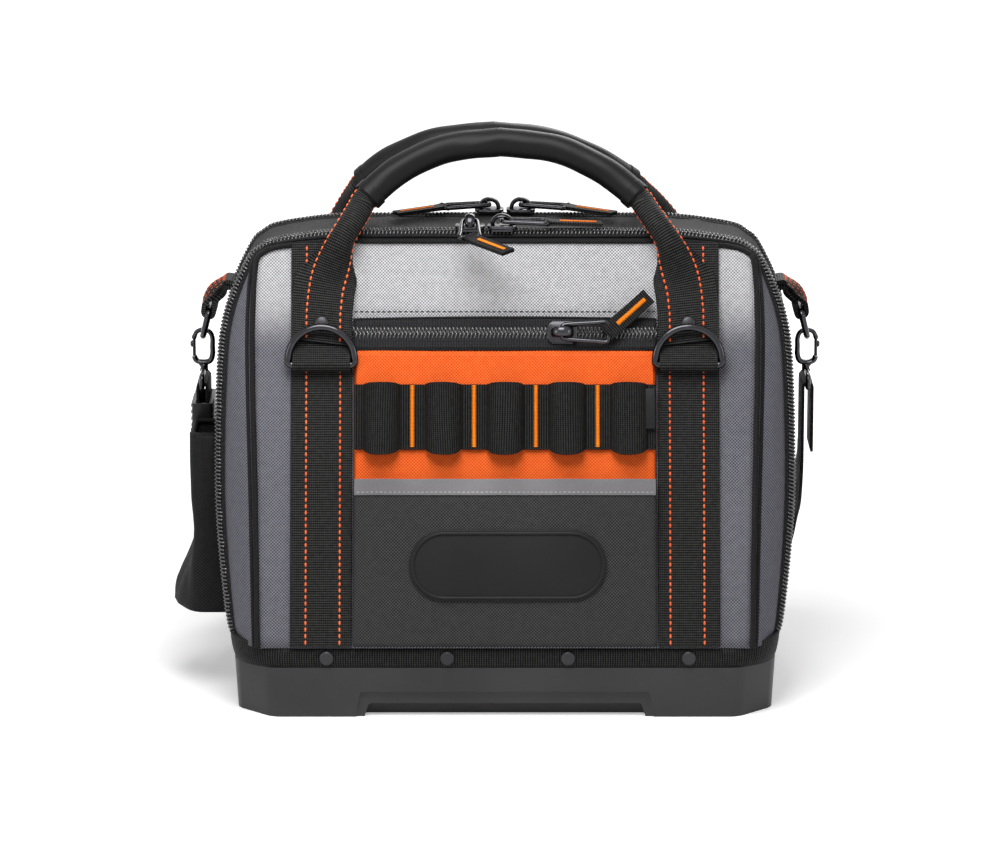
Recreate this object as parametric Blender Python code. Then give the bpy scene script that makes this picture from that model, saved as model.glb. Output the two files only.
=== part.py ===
"""A fabric tool bag on a moulded base tray: two covers zip to a central spine and fold down,
each with its own carry handle, and a shoulder strap hangs from the sides.

Metres, +Z up. The origin is the centre of the underside, the front faces -Y, left is -X.
"""

import math

import bmesh
import bpy
from mathutils import Matrix, Vector

# Clearance between pieces that touch on the real bag
GAP = 0.0003

# Width at the zips and depth of the base, which the pieces round them follow
ZIP_HALF_WIDTH = 0.1793
TRAY_HALF_DEPTH = 0.116

# Base tray, moulded in one piece
TRAY_END_INSET = 0.0113
TRAY_HALF_LENGTH = ZIP_HALF_WIDTH - TRAY_END_INSET
TRAY_CORNER = 0.030
TRAY_DRAFT = 0.0018
TRAY_LIP_Z = 0.0320
TRAY_TOP_Z = 0.0436
TRAY_LEDGE = 0.0024
TRAY_WALL = 0.0030
TRAY_FLOOR = 0.0030
TRAY_STEP_Z = 0.0115
TRAY_STEP_INSET = 0.0120
GRIP_RECESS_HALF_LENGTH = 0.0885
GRIP_RECESS_DEPTH = 0.0115
GRIP_RECESS_HEIGHT = 0.0085
BOARD_THICKNESS = 0.0030
CUTTER_OVERRUN = 0.0050

# Binding ribbon riveted round the rim
BINDING_THICKNESS = 0.0026
BINDING_HEIGHT = 0.0120
RIM_RIVET_SPACING = 0.0745
RIM_RIVET_COUNT = 4
RIVET_RADIUS = 0.0046
RIVET_HEIGHT = 0.0018
RIVET_DOME_SHARE = 0.45

# Covers: a leaning panel with a gusset back to the zip, all round an arch
FABRIC = 0.0030
FABRIC_BOTTOM = TRAY_LIP_Z + GAP + BINDING_HEIGHT + GAP
PANEL_PROUD = 0.0002
PANEL_BOTTOM_Y = -TRAY_HALF_DEPTH - PANEL_PROUD
PANEL_LEAN = math.radians(18.95)
PANEL_SIDE_INSET = 0.0228
PANEL_HALF_WIDTH = ZIP_HALF_WIDTH - PANEL_SIDE_INSET
PANEL_LENGTH = 0.2530
GUSSET_TOP_RISE = 0.005612
GUSSET_TOP_DEPTH = 0.006040
GUSSET_FOOT_DEPTH = 0.0277
ZIP_TOP_Z = FABRIC_BOTTOM + PANEL_LENGTH * math.cos(PANEL_LEAN) + GUSSET_TOP_RISE
ZIP_TOP_Y = PANEL_BOTTOM_Y + PANEL_LENGTH * math.sin(PANEL_LEAN) + GUSSET_TOP_DEPTH
ZIP_BOTTOM_Y = PANEL_BOTTOM_Y + GUSSET_FOOT_DEPTH
ARCH_STEPS = 2
# From the bottom of a side up to the middle of the top: width, depth and height of the zip line
ZIP_ARCH_SHARES = (
    (0.937, 0.000, 0.000),
    (0.962, 0.070, 0.062),
    (0.997, 0.355, 0.332),
    (0.994, 0.686, 0.647),
    (0.968, 0.851, 0.799),
    (0.893, 0.983, 0.925),
    (0.853, 1.000, 0.955),
    (0.797, 1.000, 0.976),
    (0.613, 1.000, 0.996),
    (0.446, 1.000, 0.999),
    (0.000, 1.000, 1.000),
)
# The same stations on the edge of the leaning panel: width and height along the panel
PANEL_EDGE_SHARES = (
    (0.974, 0.000),
    (0.976, 0.063),
    (0.985, 0.347),
    (0.999, 0.668),
    (1.000, 0.815),
    (0.987, 0.947),
    (0.955, 0.973),
    (0.895, 0.986),
    (0.690, 0.999),
    (0.498, 1.000),
    (0.000, 1.000),
)
ZIP_TAPE = 0.0060
ZIP_TAPE_THICKNESS = 0.0016
ZIP_COIL_WIDTH = 0.0033
ZIP_COIL_RISE = 0.0018
ZIP_COIL_DROP = 0.0012
HINGE_PROUD = 0.0053

# Webbing
WEBBING_WIDTH = 0.0381
WEBBING_THICKNESS = 0.0022
WEBBING_EDGE_INSET = 0.0429
WEBBING_X = PANEL_HALF_WIDTH - WEBBING_EDGE_INSET
WEBBING_TOP_INSET = 0.0065

# Front pockets and their trim, heights measured along the leaning panel
POCKET_FABRIC = 0.0012
POCKET_SIDE_INSET = 0.0200
POCKET_WALL_INSET = 0.0038
POCKET_HALF_WIDTH = WEBBING_X - POCKET_SIDE_INSET
POCKET_WALL_X = POCKET_HALF_WIDTH - POCKET_WALL_INSET
POCKET_WALL_SLOPE = 0.2
POCKET_FOOT = 0.0006
POCKET_FOOT_DEPTH = 0.0003
POCKET_DEPTH = 0.0040
POCKET_FULL_HEIGHT = 0.0900
POCKET_TOP = 0.1846
SLIP_SLACK = 0.0035
SLIP_TOP = 0.1036
STRIP_HEIGHT = 0.0099
STRIP_THICKNESS = 0.0007
LOOPS_BOTTOM = 0.1223
LOOPS_HEIGHT = 0.0405
LOOPS_THICKNESS = 0.0015
LOOP_PITCH = 0.0382
LOOP_COUNT = 5
LOOP_HALF_WIDTH = 0.0118
LOOP_DEPTH = 0.0105
BADGE_CENTRE_X = 0.0018
BADGE_HALF_LENGTH = 0.0611
BADGE_BOTTOM = 0.0283
BADGE_HEIGHT = 0.0443
BADGE_THICKNESS = 0.0022
BADGE_RIM = 0.0030
BADGE_RELIEF = 0.0008
POCKET_ZIP_HEIGHT = 0.0204
POCKET_ZIP_TOP = POCKET_TOP + POCKET_ZIP_HEIGHT
POCKET_COIL_SHARE = 0.5245
POCKET_COIL_HEIGHT = POCKET_TOP + POCKET_ZIP_HEIGHT * POCKET_COIL_SHARE
POCKET_COIL_WIDTH = 0.0090
POCKET_COIL_RISE = 0.0014

# Handle anchors and the D-rings in them
ANCHOR_WIDTH = 0.0358
ANCHOR_TOP = 0.2062
ANCHOR_THICKNESS = 0.0032
DRING_WIRE = 0.0023
DRING_HALF_WIDTH = 0.0207
DRING_HEIGHT = 0.0236
DRING_BAR_S = 0.1748
DRING_BORE_CLEARANCE = 0.0004
DRING_FOLD = 0.0016
DRING_TILT = math.radians(12.0)
ANCHOR_RIVET_S = 0.2010
ANCHOR_FLAT_RISE = 0.0062

# Carry handles: a webbing strap that folds narrow and runs on inside a padded grip
HANDLE_PIVOT_S = 0.2080
HANDLE_CROWN_LEAN = 0.0165
HANDLE_CROWN_RISE = 0.0530
HANDLE_CROWN_Y = ZIP_TOP_Y + HANDLE_CROWN_LEAN
HANDLE_CROWN_Z = ZIP_TOP_Z + HANDLE_CROWN_RISE
HANDLE_STEPS = 2
GRIP_RADIUS = 0.0090
GRIP_BORE_RADIUS = 0.0070
GRIP_CORE_RADIUS = 0.0058
GRIP_SIDES = 10
# Width, rise and lean of the strap's path, and the strap's own half width and half thickness there
HANDLE_SHARES = (
    (1.000, 0.000, 0.000, 1.00, 1.0),
    (0.976, 0.191, 0.150, 1.00, 1.0),
    (0.905, 0.398, 0.262, 0.76, 1.6),
    (0.829, 0.533, 0.410, 0.52, 2.4),
    (0.780, 0.618, 0.540, 0.40, 3.6),
    (0.745, 0.673, 0.633, 0.30, 5.2),
    (0.555, 0.839, 0.829, 0.30, 5.2),
    (0.300, 0.961, 0.963, 0.30, 5.2),
    (0.000, 1.000, 1.000, 0.30, 5.2),
)
GRIP_START = 5

# Zip sliders and pulls
SLIDER_LENGTH = 0.0184
SLIDER_WIDTH = 0.0130
SLIDER_PLATE = 0.0018
SLIDER_PITCH = 0.0200
FRONT_MEET_X = -0.0118
REAR_MEET_X = 0.0
CROWN_RADIUS = 0.0040
CROWN_BORE = 0.0019
CROWN_HALF_WIDTH = 0.0028
CROWN_LIFT = 0.0026
CROWN_SIDES = 12
BAIL_WIRE = 0.0009
BAIL_LENGTH = 0.0285
BAIL_HALF_WIDTH = 0.0046
BAIL_END_HALF_WIDTH = 0.0062
TAB_LENGTH = 0.0340
TAB_WIDTH = 0.0105
TAB_THICKNESS = 0.0024
TAB_OVERLAP = 0.0030
PULL_DROOP = math.radians(2.8)
PULL_TURN = math.radians(4.5)
HUNG_PULL_DROOP = math.radians(11.0)
HUNG_TAB_TURN = math.radians(45.0)
POCKET_SLIDER_INSET = 0.0543
POCKET_SLIDER_X = POCKET_WALL_X - POCKET_SLIDER_INSET
POCKET_TAB_TURN = math.radians(42.0)
POCKET_PULL_DROOP = math.radians(3.0)

# Inside: a stiff divider with pockets sewn to both faces
DIVIDER_HALF_THICKNESS = 0.0020
DIVIDER_SIDE_INSET = 0.0080
DIVIDER_TOP_INSET = 0.0060
INNER_LOOP_COUNT = 3
INNER_LOOP_PITCH = 0.0960
INNER_LOOP_HALF_WIDTH = 0.0420
INNER_LOOP_DEPTH = 0.0220
INNER_LOOP_FABRIC = 0.0018
INNER_LOOP_HEIGHT = 0.1200

# Sides: ring tabs, rings, snap hooks and the left pocket
SIDE_RING_Y = 0.0140
TAB_HALF_WIDTH_Y = 0.0120
RING_BAR_OUTSET = 0.0075
RING_BAR_X = ZIP_HALF_WIDTH + RING_BAR_OUTSET
RING_BAR_Z = 0.2318
RING_WIRE = 0.0020
RING_HALF_WIDTH = 0.0150
RING_HEIGHT = 0.0186
RING_LEAN = math.radians(14.0)
SIDE_TAB_BORE = 0.0026
SIDE_TAB_WALL = 0.0030
SIDE_TAB_TOP_Z = 0.2460
HOOK_THICKNESS = 0.0050
HOOK_HALF_WIDTH = 0.0072
HOOK_LIMB = 0.0028
HOOK_LENGTH = 0.0240
GATE_LENGTH = 0.0105
GATE_THICKNESS = 0.0022
GATE_CLEARANCE = 0.0004
EYE_WIRE = 0.0016
EYE_HALF_WIDTH = 0.0215
EYE_HEIGHT = 0.0075
NECK_LENGTH = 0.0034
POCKET_SIDE_FRONT_Y = -0.0500
POCKET_SIDE_REAR_Y = -0.0100
POCKET_SIDE_TOP_Z = 0.1640
POCKET_SIDE_BOTTOM_Z = 0.0500
POCKET_SIDE_DEPTH = 0.0222
POCKET_SIDE_OUTER_X = ZIP_HALF_WIDTH + POCKET_SIDE_DEPTH
POCKET_SIDE_FLARE = 0.0120
POCKET_SIDE_WALL = 0.0020

# Shoulder strap, adjusted short: both ends loop through the hooks, the middle lies behind the bag
STRAP_THICKNESS = 0.0018
STRAP_LOOP_RADIUS = 0.0029
STRAP_FLOOR_Z = 0.0045
STRAP_TAIL = 0.0080
PAD_HALF_LENGTH = 0.0900
PAD_HALF_WIDTH = 0.0300
PAD_TOP_Z = 0.0095
PAD_SLOT = 0.0006
PAD_BEHIND = 0.0400
PAD_Y = TRAY_HALF_DEPTH + PAD_BEHIND
ADJUSTER_HEIGHT = 0.0240
ADJUSTER_FRAME = 0.0022
ADJUSTER_CLEARANCE = 0.0005
ADJUSTER_TOP_Z = 0.1745


# Small helpers


def clear_scene():
    for obj in list(bpy.data.objects):
        bpy.data.objects.remove(obj, do_unlink=True)


def linear(channel):
    if channel <= 0.04045:
        return channel / 12.92
    return ((channel + 0.055) / 1.055) ** 2.4


def make_material(name, hex_colour, roughness, metallic=0.0):
    channels = [int(hex_colour[i : i + 2], 16) / 255 for i in (0, 2, 4)]
    colour = (*[linear(c) for c in channels], 1.0)
    material = bpy.data.materials.new(name)
    material.use_nodes = True
    shader = material.node_tree.nodes["Principled BSDF"]
    shader.inputs["Base Color"].default_value = colour
    shader.inputs["Roughness"].default_value = roughness
    shader.inputs["Metallic"].default_value = metallic
    return material


def grey_fabric():
    return make_material("grey_polyester", "8D8D99", 0.85)


def dark_fabric():
    return make_material("charcoal_polyester", "3D3D3D", 0.85)


def orange_fabric():
    return make_material("orange_polyester", "F04E1C", 0.80)


def black_webbing():
    return make_material("black_webbing", "262624", 0.80)


def grip_rubber():
    return make_material("grip_rubber", "2E2E30", 0.55)


def moulded_plastic():
    return make_material("moulded_plastic", "434343", 0.45)


def black_metal():
    return make_material("black_metal", "2B2B2D", 0.30, 0.9)


def rivet_metal():
    return make_material("rivet_metal", "555557", 0.45, 0.7)


def reflective_tape():
    return make_material("reflective_tape", "A8A8AC", 0.50)


def liner_board():
    return make_material("liner_board", "4A4A4E", 0.80)


def empty(name, parent=None, location=(0.0, 0.0, 0.0), rotation=(0.0, 0.0, 0.0)):
    frame = bpy.data.objects.new(name, None)
    bpy.context.scene.collection.objects.link(frame)
    frame.parent = parent
    frame.location = location
    frame.rotation_euler = rotation
    return frame


def add_mesh(name, bm, material, parent=None, origin=(0.0, 0.0, 0.0), smooth=False):
    """An object from a bmesh drawn in its parent's frame, with its own origin moved to the point given."""
    bmesh.ops.recalc_face_normals(bm, faces=bm.faces)
    bmesh.ops.translate(bm, verts=bm.verts, vec=-Vector(origin))
    mesh = bpy.data.meshes.new(name)
    bm.to_mesh(mesh)
    bm.free()
    mesh.materials.append(material)
    if smooth:
        mesh.shade_smooth()
        mesh.set_sharp_from_angle(angle=math.radians(40.0))
    obj = bpy.data.objects.new(name, mesh)
    bpy.context.scene.collection.objects.link(obj)
    obj.parent = parent
    obj.location = origin
    return obj


def loft(rings, closed=False):
    """A skin over rings of points, with a cap on each end unless the last ring meets the first."""
    bm = bmesh.new()
    loops = [[bm.verts.new(point) for point in ring] for ring in rings]
    pairs = list(zip(loops, loops[1:]))
    if closed:
        pairs.append((loops[-1], loops[0]))
    for low, high in pairs:
        for k in range(len(low)):
            bm.faces.new((low[k - 1], low[k], high[k], high[k - 1]))
    if not closed:
        bm.faces.new(loops[0])
        bm.faces.new(loops[-1])
    return bm


def extruded(outline, vector):
    """A solid from a flat outline pushed along a vector."""
    step = Vector(vector)
    return loft([[Vector(p) for p in outline], [Vector(p) + step for p in outline]])


def holed(outer, inner, vector):
    """A flat outline with a hole in it, pushed along a vector."""
    bm = bmesh.new()
    edges = []
    for outline in (outer, inner):
        verts = [bm.verts.new(p) for p in outline]
        edges += [bm.edges.new((verts[k - 1], verts[k])) for k in range(len(verts))]
    bmesh.ops.triangle_fill(bm, use_beauty=True, use_dissolve=False, edges=edges)
    far = bmesh.ops.extrude_face_region(bm, geom=list(bm.faces), use_keep_orig=True)["geom"]
    moved = [item for item in far if isinstance(item, bmesh.types.BMVert)]
    bmesh.ops.translate(bm, verts=moved, vec=vector)
    return bm


def block(low, high):
    bm = bmesh.new()
    bmesh.ops.create_cube(bm, size=1.0)
    low = Vector(low)
    high = Vector(high)
    bmesh.ops.scale(bm, verts=bm.verts, vec=high - low)
    bmesh.ops.translate(bm, verts=bm.verts, vec=(low + high) / 2)
    return bm


def smooth_path(points, steps, closed=False):
    """Points on a smooth curve through the given ones, steps to each span."""
    points = [Vector(p) for p in points]
    count = len(points)
    spans = count if closed else count - 1
    path = []
    for i in range(spans):
        if closed:
            p0, p1, p2, p3 = (points[(i + k) % count] for k in (-1, 0, 1, 2))
        else:
            p0 = points[max(i - 1, 0)]
            p1, p2 = points[i], points[i + 1]
            p3 = points[min(i + 2, count - 1)]
        for k in range(steps):
            t = k / steps
            path.append(
                ((2 * p1) + (p2 - p0) * t + (2 * p0 - 5 * p1 + 4 * p2 - p3) * t**2
                 + (3 * p1 - p0 - 3 * p2 + p3) * t**3) / 2
            )
    if not closed:
        path.append(points[-1])
    return path


def tangents(path, closed=False):
    count = len(path)
    result = []
    for i in range(count):
        if closed:
            ahead, behind = path[(i + 1) % count], path[i - 1]
        else:
            ahead, behind = path[min(i + 1, count - 1)], path[max(i - 1, 0)]
        result.append((ahead - behind).normalized())
    return result


def tube(path, radius, sides, closed=False, side_hint=(0.0, 0.0, 1.0)):
    """A round wire or cord along a path that stays roughly square to the hint."""
    rings = []
    for point, tangent in zip(path, tangents(path, closed)):
        across = tangent.cross(Vector(side_hint)).normalized()
        up = across.cross(tangent)
        turns = [2 * math.pi * k / sides for k in range(sides)]
        rings.append([point + radius * (math.cos(a) * across + math.sin(a) * up) for a in turns])
    return loft(rings, closed)


def disc(radius, sides, centre, axis_a, axis_b):
    turns = [2 * math.pi * k / sides for k in range(sides)]
    a, b, c = Vector(axis_a), Vector(axis_b), Vector(centre)
    return [c + radius * (math.cos(t) * a + math.sin(t) * b) for t in turns]


def united(name, meshes, material, parent=None, origin=(0.0, 0.0, 0.0), smooth=False):
    """One body from meshes that clearly overlap, joined by Booleans that stay on the first."""
    first = add_mesh(name, meshes[0], material, parent, origin, smooth)
    for number, bm in enumerate(meshes[1:], 1):
        helper = add_mesh(f"{name}_joined_{number}", bm, material, parent, origin, smooth)
        helper.hide_render = True
        helper.display_type = "WIRE"
        join = first.modifiers.new(f"join_{number}", "BOOLEAN")
        join.operation = "UNION"
        join.object = helper
    return first


def cut(obj, name, bm):
    cutter = add_mesh(name, bm, obj.data.materials[0], obj.parent)
    cutter.hide_render = True
    cutter.display_type = "WIRE"
    take = obj.modifiers.new(name, "BOOLEAN")
    take.operation = "DIFFERENCE"
    take.object = cutter


def mirrored_path(half):
    """A left to right path from its left half, whose last point is on the centre line."""
    return half + [Vector((-p.x, p.y, p.z)) for p in half[-2::-1]]


# Shared outlines of the covers, in the bag's own frame


def panel_point(x, along, proud=0.0):
    """A point over the front leaning panel: across, up along it, and out from its face."""
    lean = Vector((0.0, math.sin(PANEL_LEAN), math.cos(PANEL_LEAN)))
    out = Vector((0.0, -math.cos(PANEL_LEAN), math.sin(PANEL_LEAN)))
    base = Vector((x, PANEL_BOTTOM_Y, FABRIC_BOTTOM))
    return base + along * lean + proud * out


def zip_line():
    height = ZIP_TOP_Z - FABRIC_BOTTOM
    depth = ZIP_TOP_Y - ZIP_BOTTOM_Y
    half = [
        Vector((-ZIP_HALF_WIDTH * x, ZIP_BOTTOM_Y + depth * y, FABRIC_BOTTOM + height * z))
        for x, y, z in ZIP_ARCH_SHARES
    ]
    return mirrored_path(smooth_path(half, ARCH_STEPS))


def panel_edge():
    half = [panel_point(-PANEL_HALF_WIDTH * x, PANEL_LENGTH * s) for x, s in PANEL_EDGE_SHARES]
    return mirrored_path(smooth_path(half, ARCH_STEPS))


def square_to(direction, tangent):
    return (direction - direction.dot(tangent) * tangent).normalized()


def cover_frames():
    """At each station of the zip line: the point, towards the panel, and outwards there."""
    line = zip_line()
    frames = []
    for point, edge, tangent in zip(line, panel_edge(), tangents(line)):
        across = square_to(edge - point, tangent)
        frames.append((point, across, across.cross(tangent).normalized()))
    return frames


def spine_frames():
    """At each station of the front zip line: the point, towards the rear, and outwards there."""
    line = zip_line()
    frames = []
    for point, tangent in zip(line, tangents(line)):
        back = square_to(Vector((0.0, 1.0, 0.0)), tangent)
        frames.append((point, back, tangent.cross(back).normalized()))
    return frames


def meeting_frames():
    """Between the two: the direction across the zip from the cover to the spine, and outwards."""
    frames = []
    for (point, to_panel, out_cover), (_, back, out_spine) in zip(cover_frames(), spine_frames()):
        out = (out_cover + out_spine).normalized()
        tangent = back.cross(out_spine)
        frames.append((square_to(back - to_panel, tangent), out))
    return frames


def spine_surface():
    """Front edge of the spine's outer face, left half, bottom up."""
    edge = ZIP_TAPE + GAP
    points = [point + edge * back for point, back, _ in spine_frames()]
    return [p for p in points if p.x <= 0]


# Base


def rounded_ring(half_x, half_y, corner, z):
    """A rounded rectangle at a height, a quarter circle in three steps at each corner."""
    points = []
    for quarter in range(4):
        sign_x = 1 if quarter in (0, 3) else -1
        sign_y = 1 if quarter in (0, 1) else -1
        for step in range(4):
            angle = math.pi / 2 * (quarter + step / 3)
            x = sign_x * (half_x - corner) + corner * math.cos(angle)
            y = sign_y * (half_y - corner) + corner * math.sin(angle)
            points.append(Vector((x, y, z)))
    return points


def tray_ring(inset, z):
    return rounded_ring(TRAY_HALF_LENGTH - inset, TRAY_HALF_DEPTH - inset, TRAY_CORNER - inset, z)


def build_tray(material):
    inner = TRAY_LEDGE + TRAY_WALL
    rings = [
        tray_ring(TRAY_DRAFT, 0.0),
        tray_ring(0.0, TRAY_LIP_Z),
        tray_ring(TRAY_LEDGE, TRAY_LIP_Z),
        tray_ring(TRAY_LEDGE, TRAY_TOP_Z),
        tray_ring(inner, TRAY_TOP_Z),
        tray_ring(inner, TRAY_STEP_Z),
        tray_ring(inner + TRAY_STEP_INSET, TRAY_STEP_Z),
        tray_ring(inner + TRAY_STEP_INSET, TRAY_FLOOR),
    ]
    tray = add_mesh("base_tray", loft(rings), material)
    for name, side in (("front", -1), ("rear", 1)):
        near = side * (TRAY_HALF_DEPTH - GRIP_RECESS_DEPTH)
        far = side * (TRAY_HALF_DEPTH + CUTTER_OVERRUN)
        low = (-GRIP_RECESS_HALF_LENGTH, min(near, far), -CUTTER_OVERRUN)
        high = (GRIP_RECESS_HALF_LENGTH, max(near, far), GRIP_RECESS_HEIGHT)
        cut(tray, f"grip_recess_{name}", block(low, high))


def build_board(material):
    inset = TRAY_LEDGE + TRAY_WALL + GAP
    low = TRAY_STEP_Z + GAP
    rings = [tray_ring(inset, low), tray_ring(inset, low + BOARD_THICKNESS)]
    add_mesh("base_board", loft(rings), material)


def binding_face():
    return TRAY_HALF_DEPTH - TRAY_LEDGE + GAP + BINDING_THICKNESS


def build_binding(material):
    inner = TRAY_LEDGE - GAP
    outer = inner - BINDING_THICKNESS
    low = TRAY_LIP_Z + GAP
    high = low + BINDING_HEIGHT
    rings = [
        tray_ring(outer, low),
        tray_ring(outer, high),
        tray_ring(inner, high),
        tray_ring(inner, low),
    ]
    add_mesh("rim_binding", loft(rings, closed=True), material)


def rivet(name, centre, out, across, material, parent=None):
    """A low domed rivet head that sits on a face, with its own origin on that face."""
    out, across, centre = Vector(out), Vector(across), Vector(centre)
    up = out.cross(across)
    rings = [
        disc(RIVET_RADIUS, 14, centre, across, up),
        disc(RIVET_RADIUS, 14, centre + out * RIVET_HEIGHT * RIVET_DOME_SHARE, across, up),
        disc(RIVET_RADIUS * (1 - RIVET_DOME_SHARE / 2), 14, centre + out * RIVET_HEIGHT, across, up),
    ]
    add_mesh(name, loft(rings), material, parent, centre, smooth=True)


def build_rim_rivets(material):
    middle = TRAY_LIP_Z + GAP + BINDING_HEIGHT / 2
    for number in range(RIM_RIVET_COUNT):
        x = RIM_RIVET_SPACING * (number - (RIM_RIVET_COUNT - 1) / 2)
        centre = (x, -binding_face() - GAP, middle)
        rivet(f"rim_rivet_{number + 1}", centre, (0, -1, 0), (1, 0, 0), material)


# Spine, divider and its pockets


def build_spine(material):
    rings = []
    edge = ZIP_TAPE + GAP
    for point, back, out in spine_frames():
        front_outer = point + edge * back
        front_inner = front_outer - FABRIC * out
        rear_outer = Vector((front_outer.x, -front_outer.y, front_outer.z))
        rear_inner = Vector((front_inner.x, -front_inner.y, front_inner.z))
        rings.append([front_outer, rear_outer, rear_inner, front_inner])
    for ring in (rings[0], rings[-1]):
        for point in ring:
            point.z = FABRIC_BOTTOM
    add_mesh("spine_band", loft(rings), material)


def zip_half(frames, side):
    """Half a coil zip: tape with a thicker coil along its inner edge."""
    tape = ZIP_TAPE_THICKNESS / 2
    rings = []
    for (point, across, out), (meet, meet_out) in zip(frames, meeting_frames()):
        near = point + side * GAP / 2 * meet
        coil = point + ZIP_COIL_WIDTH * across
        far = point + ZIP_TAPE * across
        rings.append([
            near + ZIP_COIL_RISE * meet_out, coil + ZIP_COIL_RISE * out, far + tape * out,
            far - tape * out, coil - ZIP_COIL_DROP * out, near - ZIP_COIL_DROP * meet_out,
        ])
    for ring in (rings[0], rings[-1]):
        for point in ring:
            point.z = FABRIC_BOTTOM
    return loft(rings)


def build_spine_zips(material):
    add_mesh("spine_zip_front", zip_half(spine_frames(), 1), material)
    rear = zip_half(spine_frames(), 1)
    bmesh.ops.rotate(rear, verts=rear.verts, cent=(0, 0, 0), matrix=Matrix.Rotation(math.pi, 3, "Z"))
    add_mesh("spine_zip_rear", rear, material)


def floor_top():
    return TRAY_STEP_Z + GAP + BOARD_THICKNESS


def build_divider(material):
    arch = [p for p in zip_line() if p.z > TRAY_TOP_Z]
    front = -DIVIDER_HALF_THICKNESS
    outline = []
    for p in arch:
        x = p.x - math.copysign(DIVIDER_SIDE_INSET, p.x) if abs(p.x) > DIVIDER_SIDE_INSET else 0.0
        outline.append(Vector((x, front, p.z - DIVIDER_TOP_INSET)))
    bottom = floor_top() + GAP
    outline.append(Vector((outline[-1].x, front, bottom)))
    outline.append(Vector((outline[0].x, front, bottom)))
    add_mesh("center_divider", extruded(outline, (0, 2 * DIVIDER_HALF_THICKNESS, 0)), material)


def looped_section(count, pitch, half_width, depth, thickness, ends, steps=6):
    """The outline of a strip with arches in it, as across and out: outer line, then inner line back."""
    def line(reach, foot, rise):
        points = [(-ends, foot)]
        for number in range(count):
            centre = pitch * (number - (count - 1) / 2)
            for k in range(steps + 1):
                angle = math.pi * (1 - k / steps)
                points.append((centre + reach * math.cos(angle), foot + rise * math.sin(angle)))
        points.append((ends, foot))
        return points

    outer = line(half_width, thickness, depth - thickness)
    inner = line(half_width - thickness, 0.0, depth - thickness)
    return outer + inner[::-1]


def build_divider_pockets(material):
    ends = INNER_LOOP_PITCH * (INNER_LOOP_COUNT - 1) / 2 + INNER_LOOP_PITCH / 2
    section = looped_section(
        INNER_LOOP_COUNT, INNER_LOOP_PITCH, INNER_LOOP_HALF_WIDTH,
        INNER_LOOP_DEPTH, INNER_LOOP_FABRIC, ends,
    )
    foot = DIVIDER_HALF_THICKNESS + GAP
    bottom = floor_top() + GAP
    for name, side in (("front", -1), ("rear", 1)):
        outline = [Vector((x, side * (foot + out), bottom)) for x, out in section]
        add_mesh(f"divider_pockets_{name}", extruded(outline, (0, 0, INNER_LOOP_HEIGHT)), material)


# Covers


def build_shell(name, material, parent):
    """Panel and gusset of a cover in one skin, open at the back and the bottom."""
    bm = bmesh.new()
    rows = {"gusset": [], "edge": [], "inner_edge": [], "inner_gusset": []}
    edge_path = panel_edge()
    edge_run = tangents(edge_path)
    inward = Vector((0.0, FABRIC / math.cos(PANEL_LEAN), 0.0))
    out_of_panel = panel_point(0, 0, 1) - panel_point(0, 0, 0)
    for (point, across, out), edge, run in zip(cover_frames(), edge_path, edge_run):
        gusset = point + (ZIP_TAPE + GAP) * across
        inset = run.cross(out_of_panel).normalized() * FABRIC
        if (edge - inset - Vector((0, edge.y, panel_point(0, PANEL_LENGTH / 2).z))).length > (
            edge + inset - Vector((0, edge.y, panel_point(0, PANEL_LENGTH / 2).z))
        ).length:
            inset = -inset
        rows["gusset"].append(gusset)
        rows["edge"].append(edge)
        rows["inner_edge"].append(edge - inset + inward)
        rows["inner_gusset"].append(gusset - FABRIC * out)
    for row in rows.values():
        for end in (0, -1):
            row[end] = Vector((row[end].x, row[end].y, FABRIC_BOTTOM))
    verts = {key: [bm.verts.new(p) for p in row] for key, row in rows.items()}
    order = ("gusset", "edge"), ("inner_edge", "inner_gusset"), ("inner_gusset", "gusset")
    for first, second in order:
        a, b = verts[first], verts[second]
        for i in range(len(a) - 1):
            bm.faces.new((a[i], a[i + 1], b[i + 1], b[i]))
    for end in (0, -1):
        bm.faces.new([verts[k][end] for k in ("gusset", "edge", "inner_edge", "inner_gusset")])
    bm.faces.new(verts["edge"])
    bm.faces.new(verts["inner_edge"])
    corners = (verts["edge"][0], verts["edge"][-1], verts["inner_edge"][-1], verts["inner_edge"][0])
    bm.faces.new(corners)
    add_mesh(name, bm, material, parent)


def build_cover_zip(name, material, parent):
    add_mesh(name, zip_half(cover_frames(), -1), material, parent)


def panel_slab(x_low, x_high, along_low, along_high, out_low, out_high):
    """A flat slab in the panel's own frame: across, out towards -Y, and up along +Z."""
    return block((x_low, -out_high, along_low), (x_high, -out_low, along_high))


def build_webbing(prefix, names, material, panel):
    half = WEBBING_WIDTH / 2
    top = PANEL_LENGTH - WEBBING_TOP_INSET
    for name, side in names:
        x = side * WEBBING_X
        bm = panel_slab(x - half, x + half, GAP, top, GAP, GAP + WEBBING_THICKNESS)
        add_mesh(f"{prefix}_webbing_{name}", bm, material, panel)


def pan_ring(along, base, depth, wall_x, thickness, half_width):
    """A pocket's section across the panel: side flanges, walls, and a raised front."""
    top_x = wall_x - POCKET_WALL_SLOPE * depth
    inner = (
        (half_width, 0.0), (wall_x - thickness, 0.0), (top_x - thickness, depth),
        (-top_x + thickness, depth), (-wall_x + thickness, 0.0), (-half_width, 0.0),
    )
    outer = (
        (-half_width, thickness), (-wall_x, thickness), (-top_x, depth + thickness),
        (top_x, depth + thickness), (wall_x, thickness), (half_width, thickness),
    )
    return [Vector((x, -base - out, along)) for x, out in inner + outer]


def pocket_depth(along):
    share = min(along / POCKET_FULL_HEIGHT, 1.0)
    return POCKET_FOOT_DEPTH + (POCKET_DEPTH - POCKET_FOOT_DEPTH) * share


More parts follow.
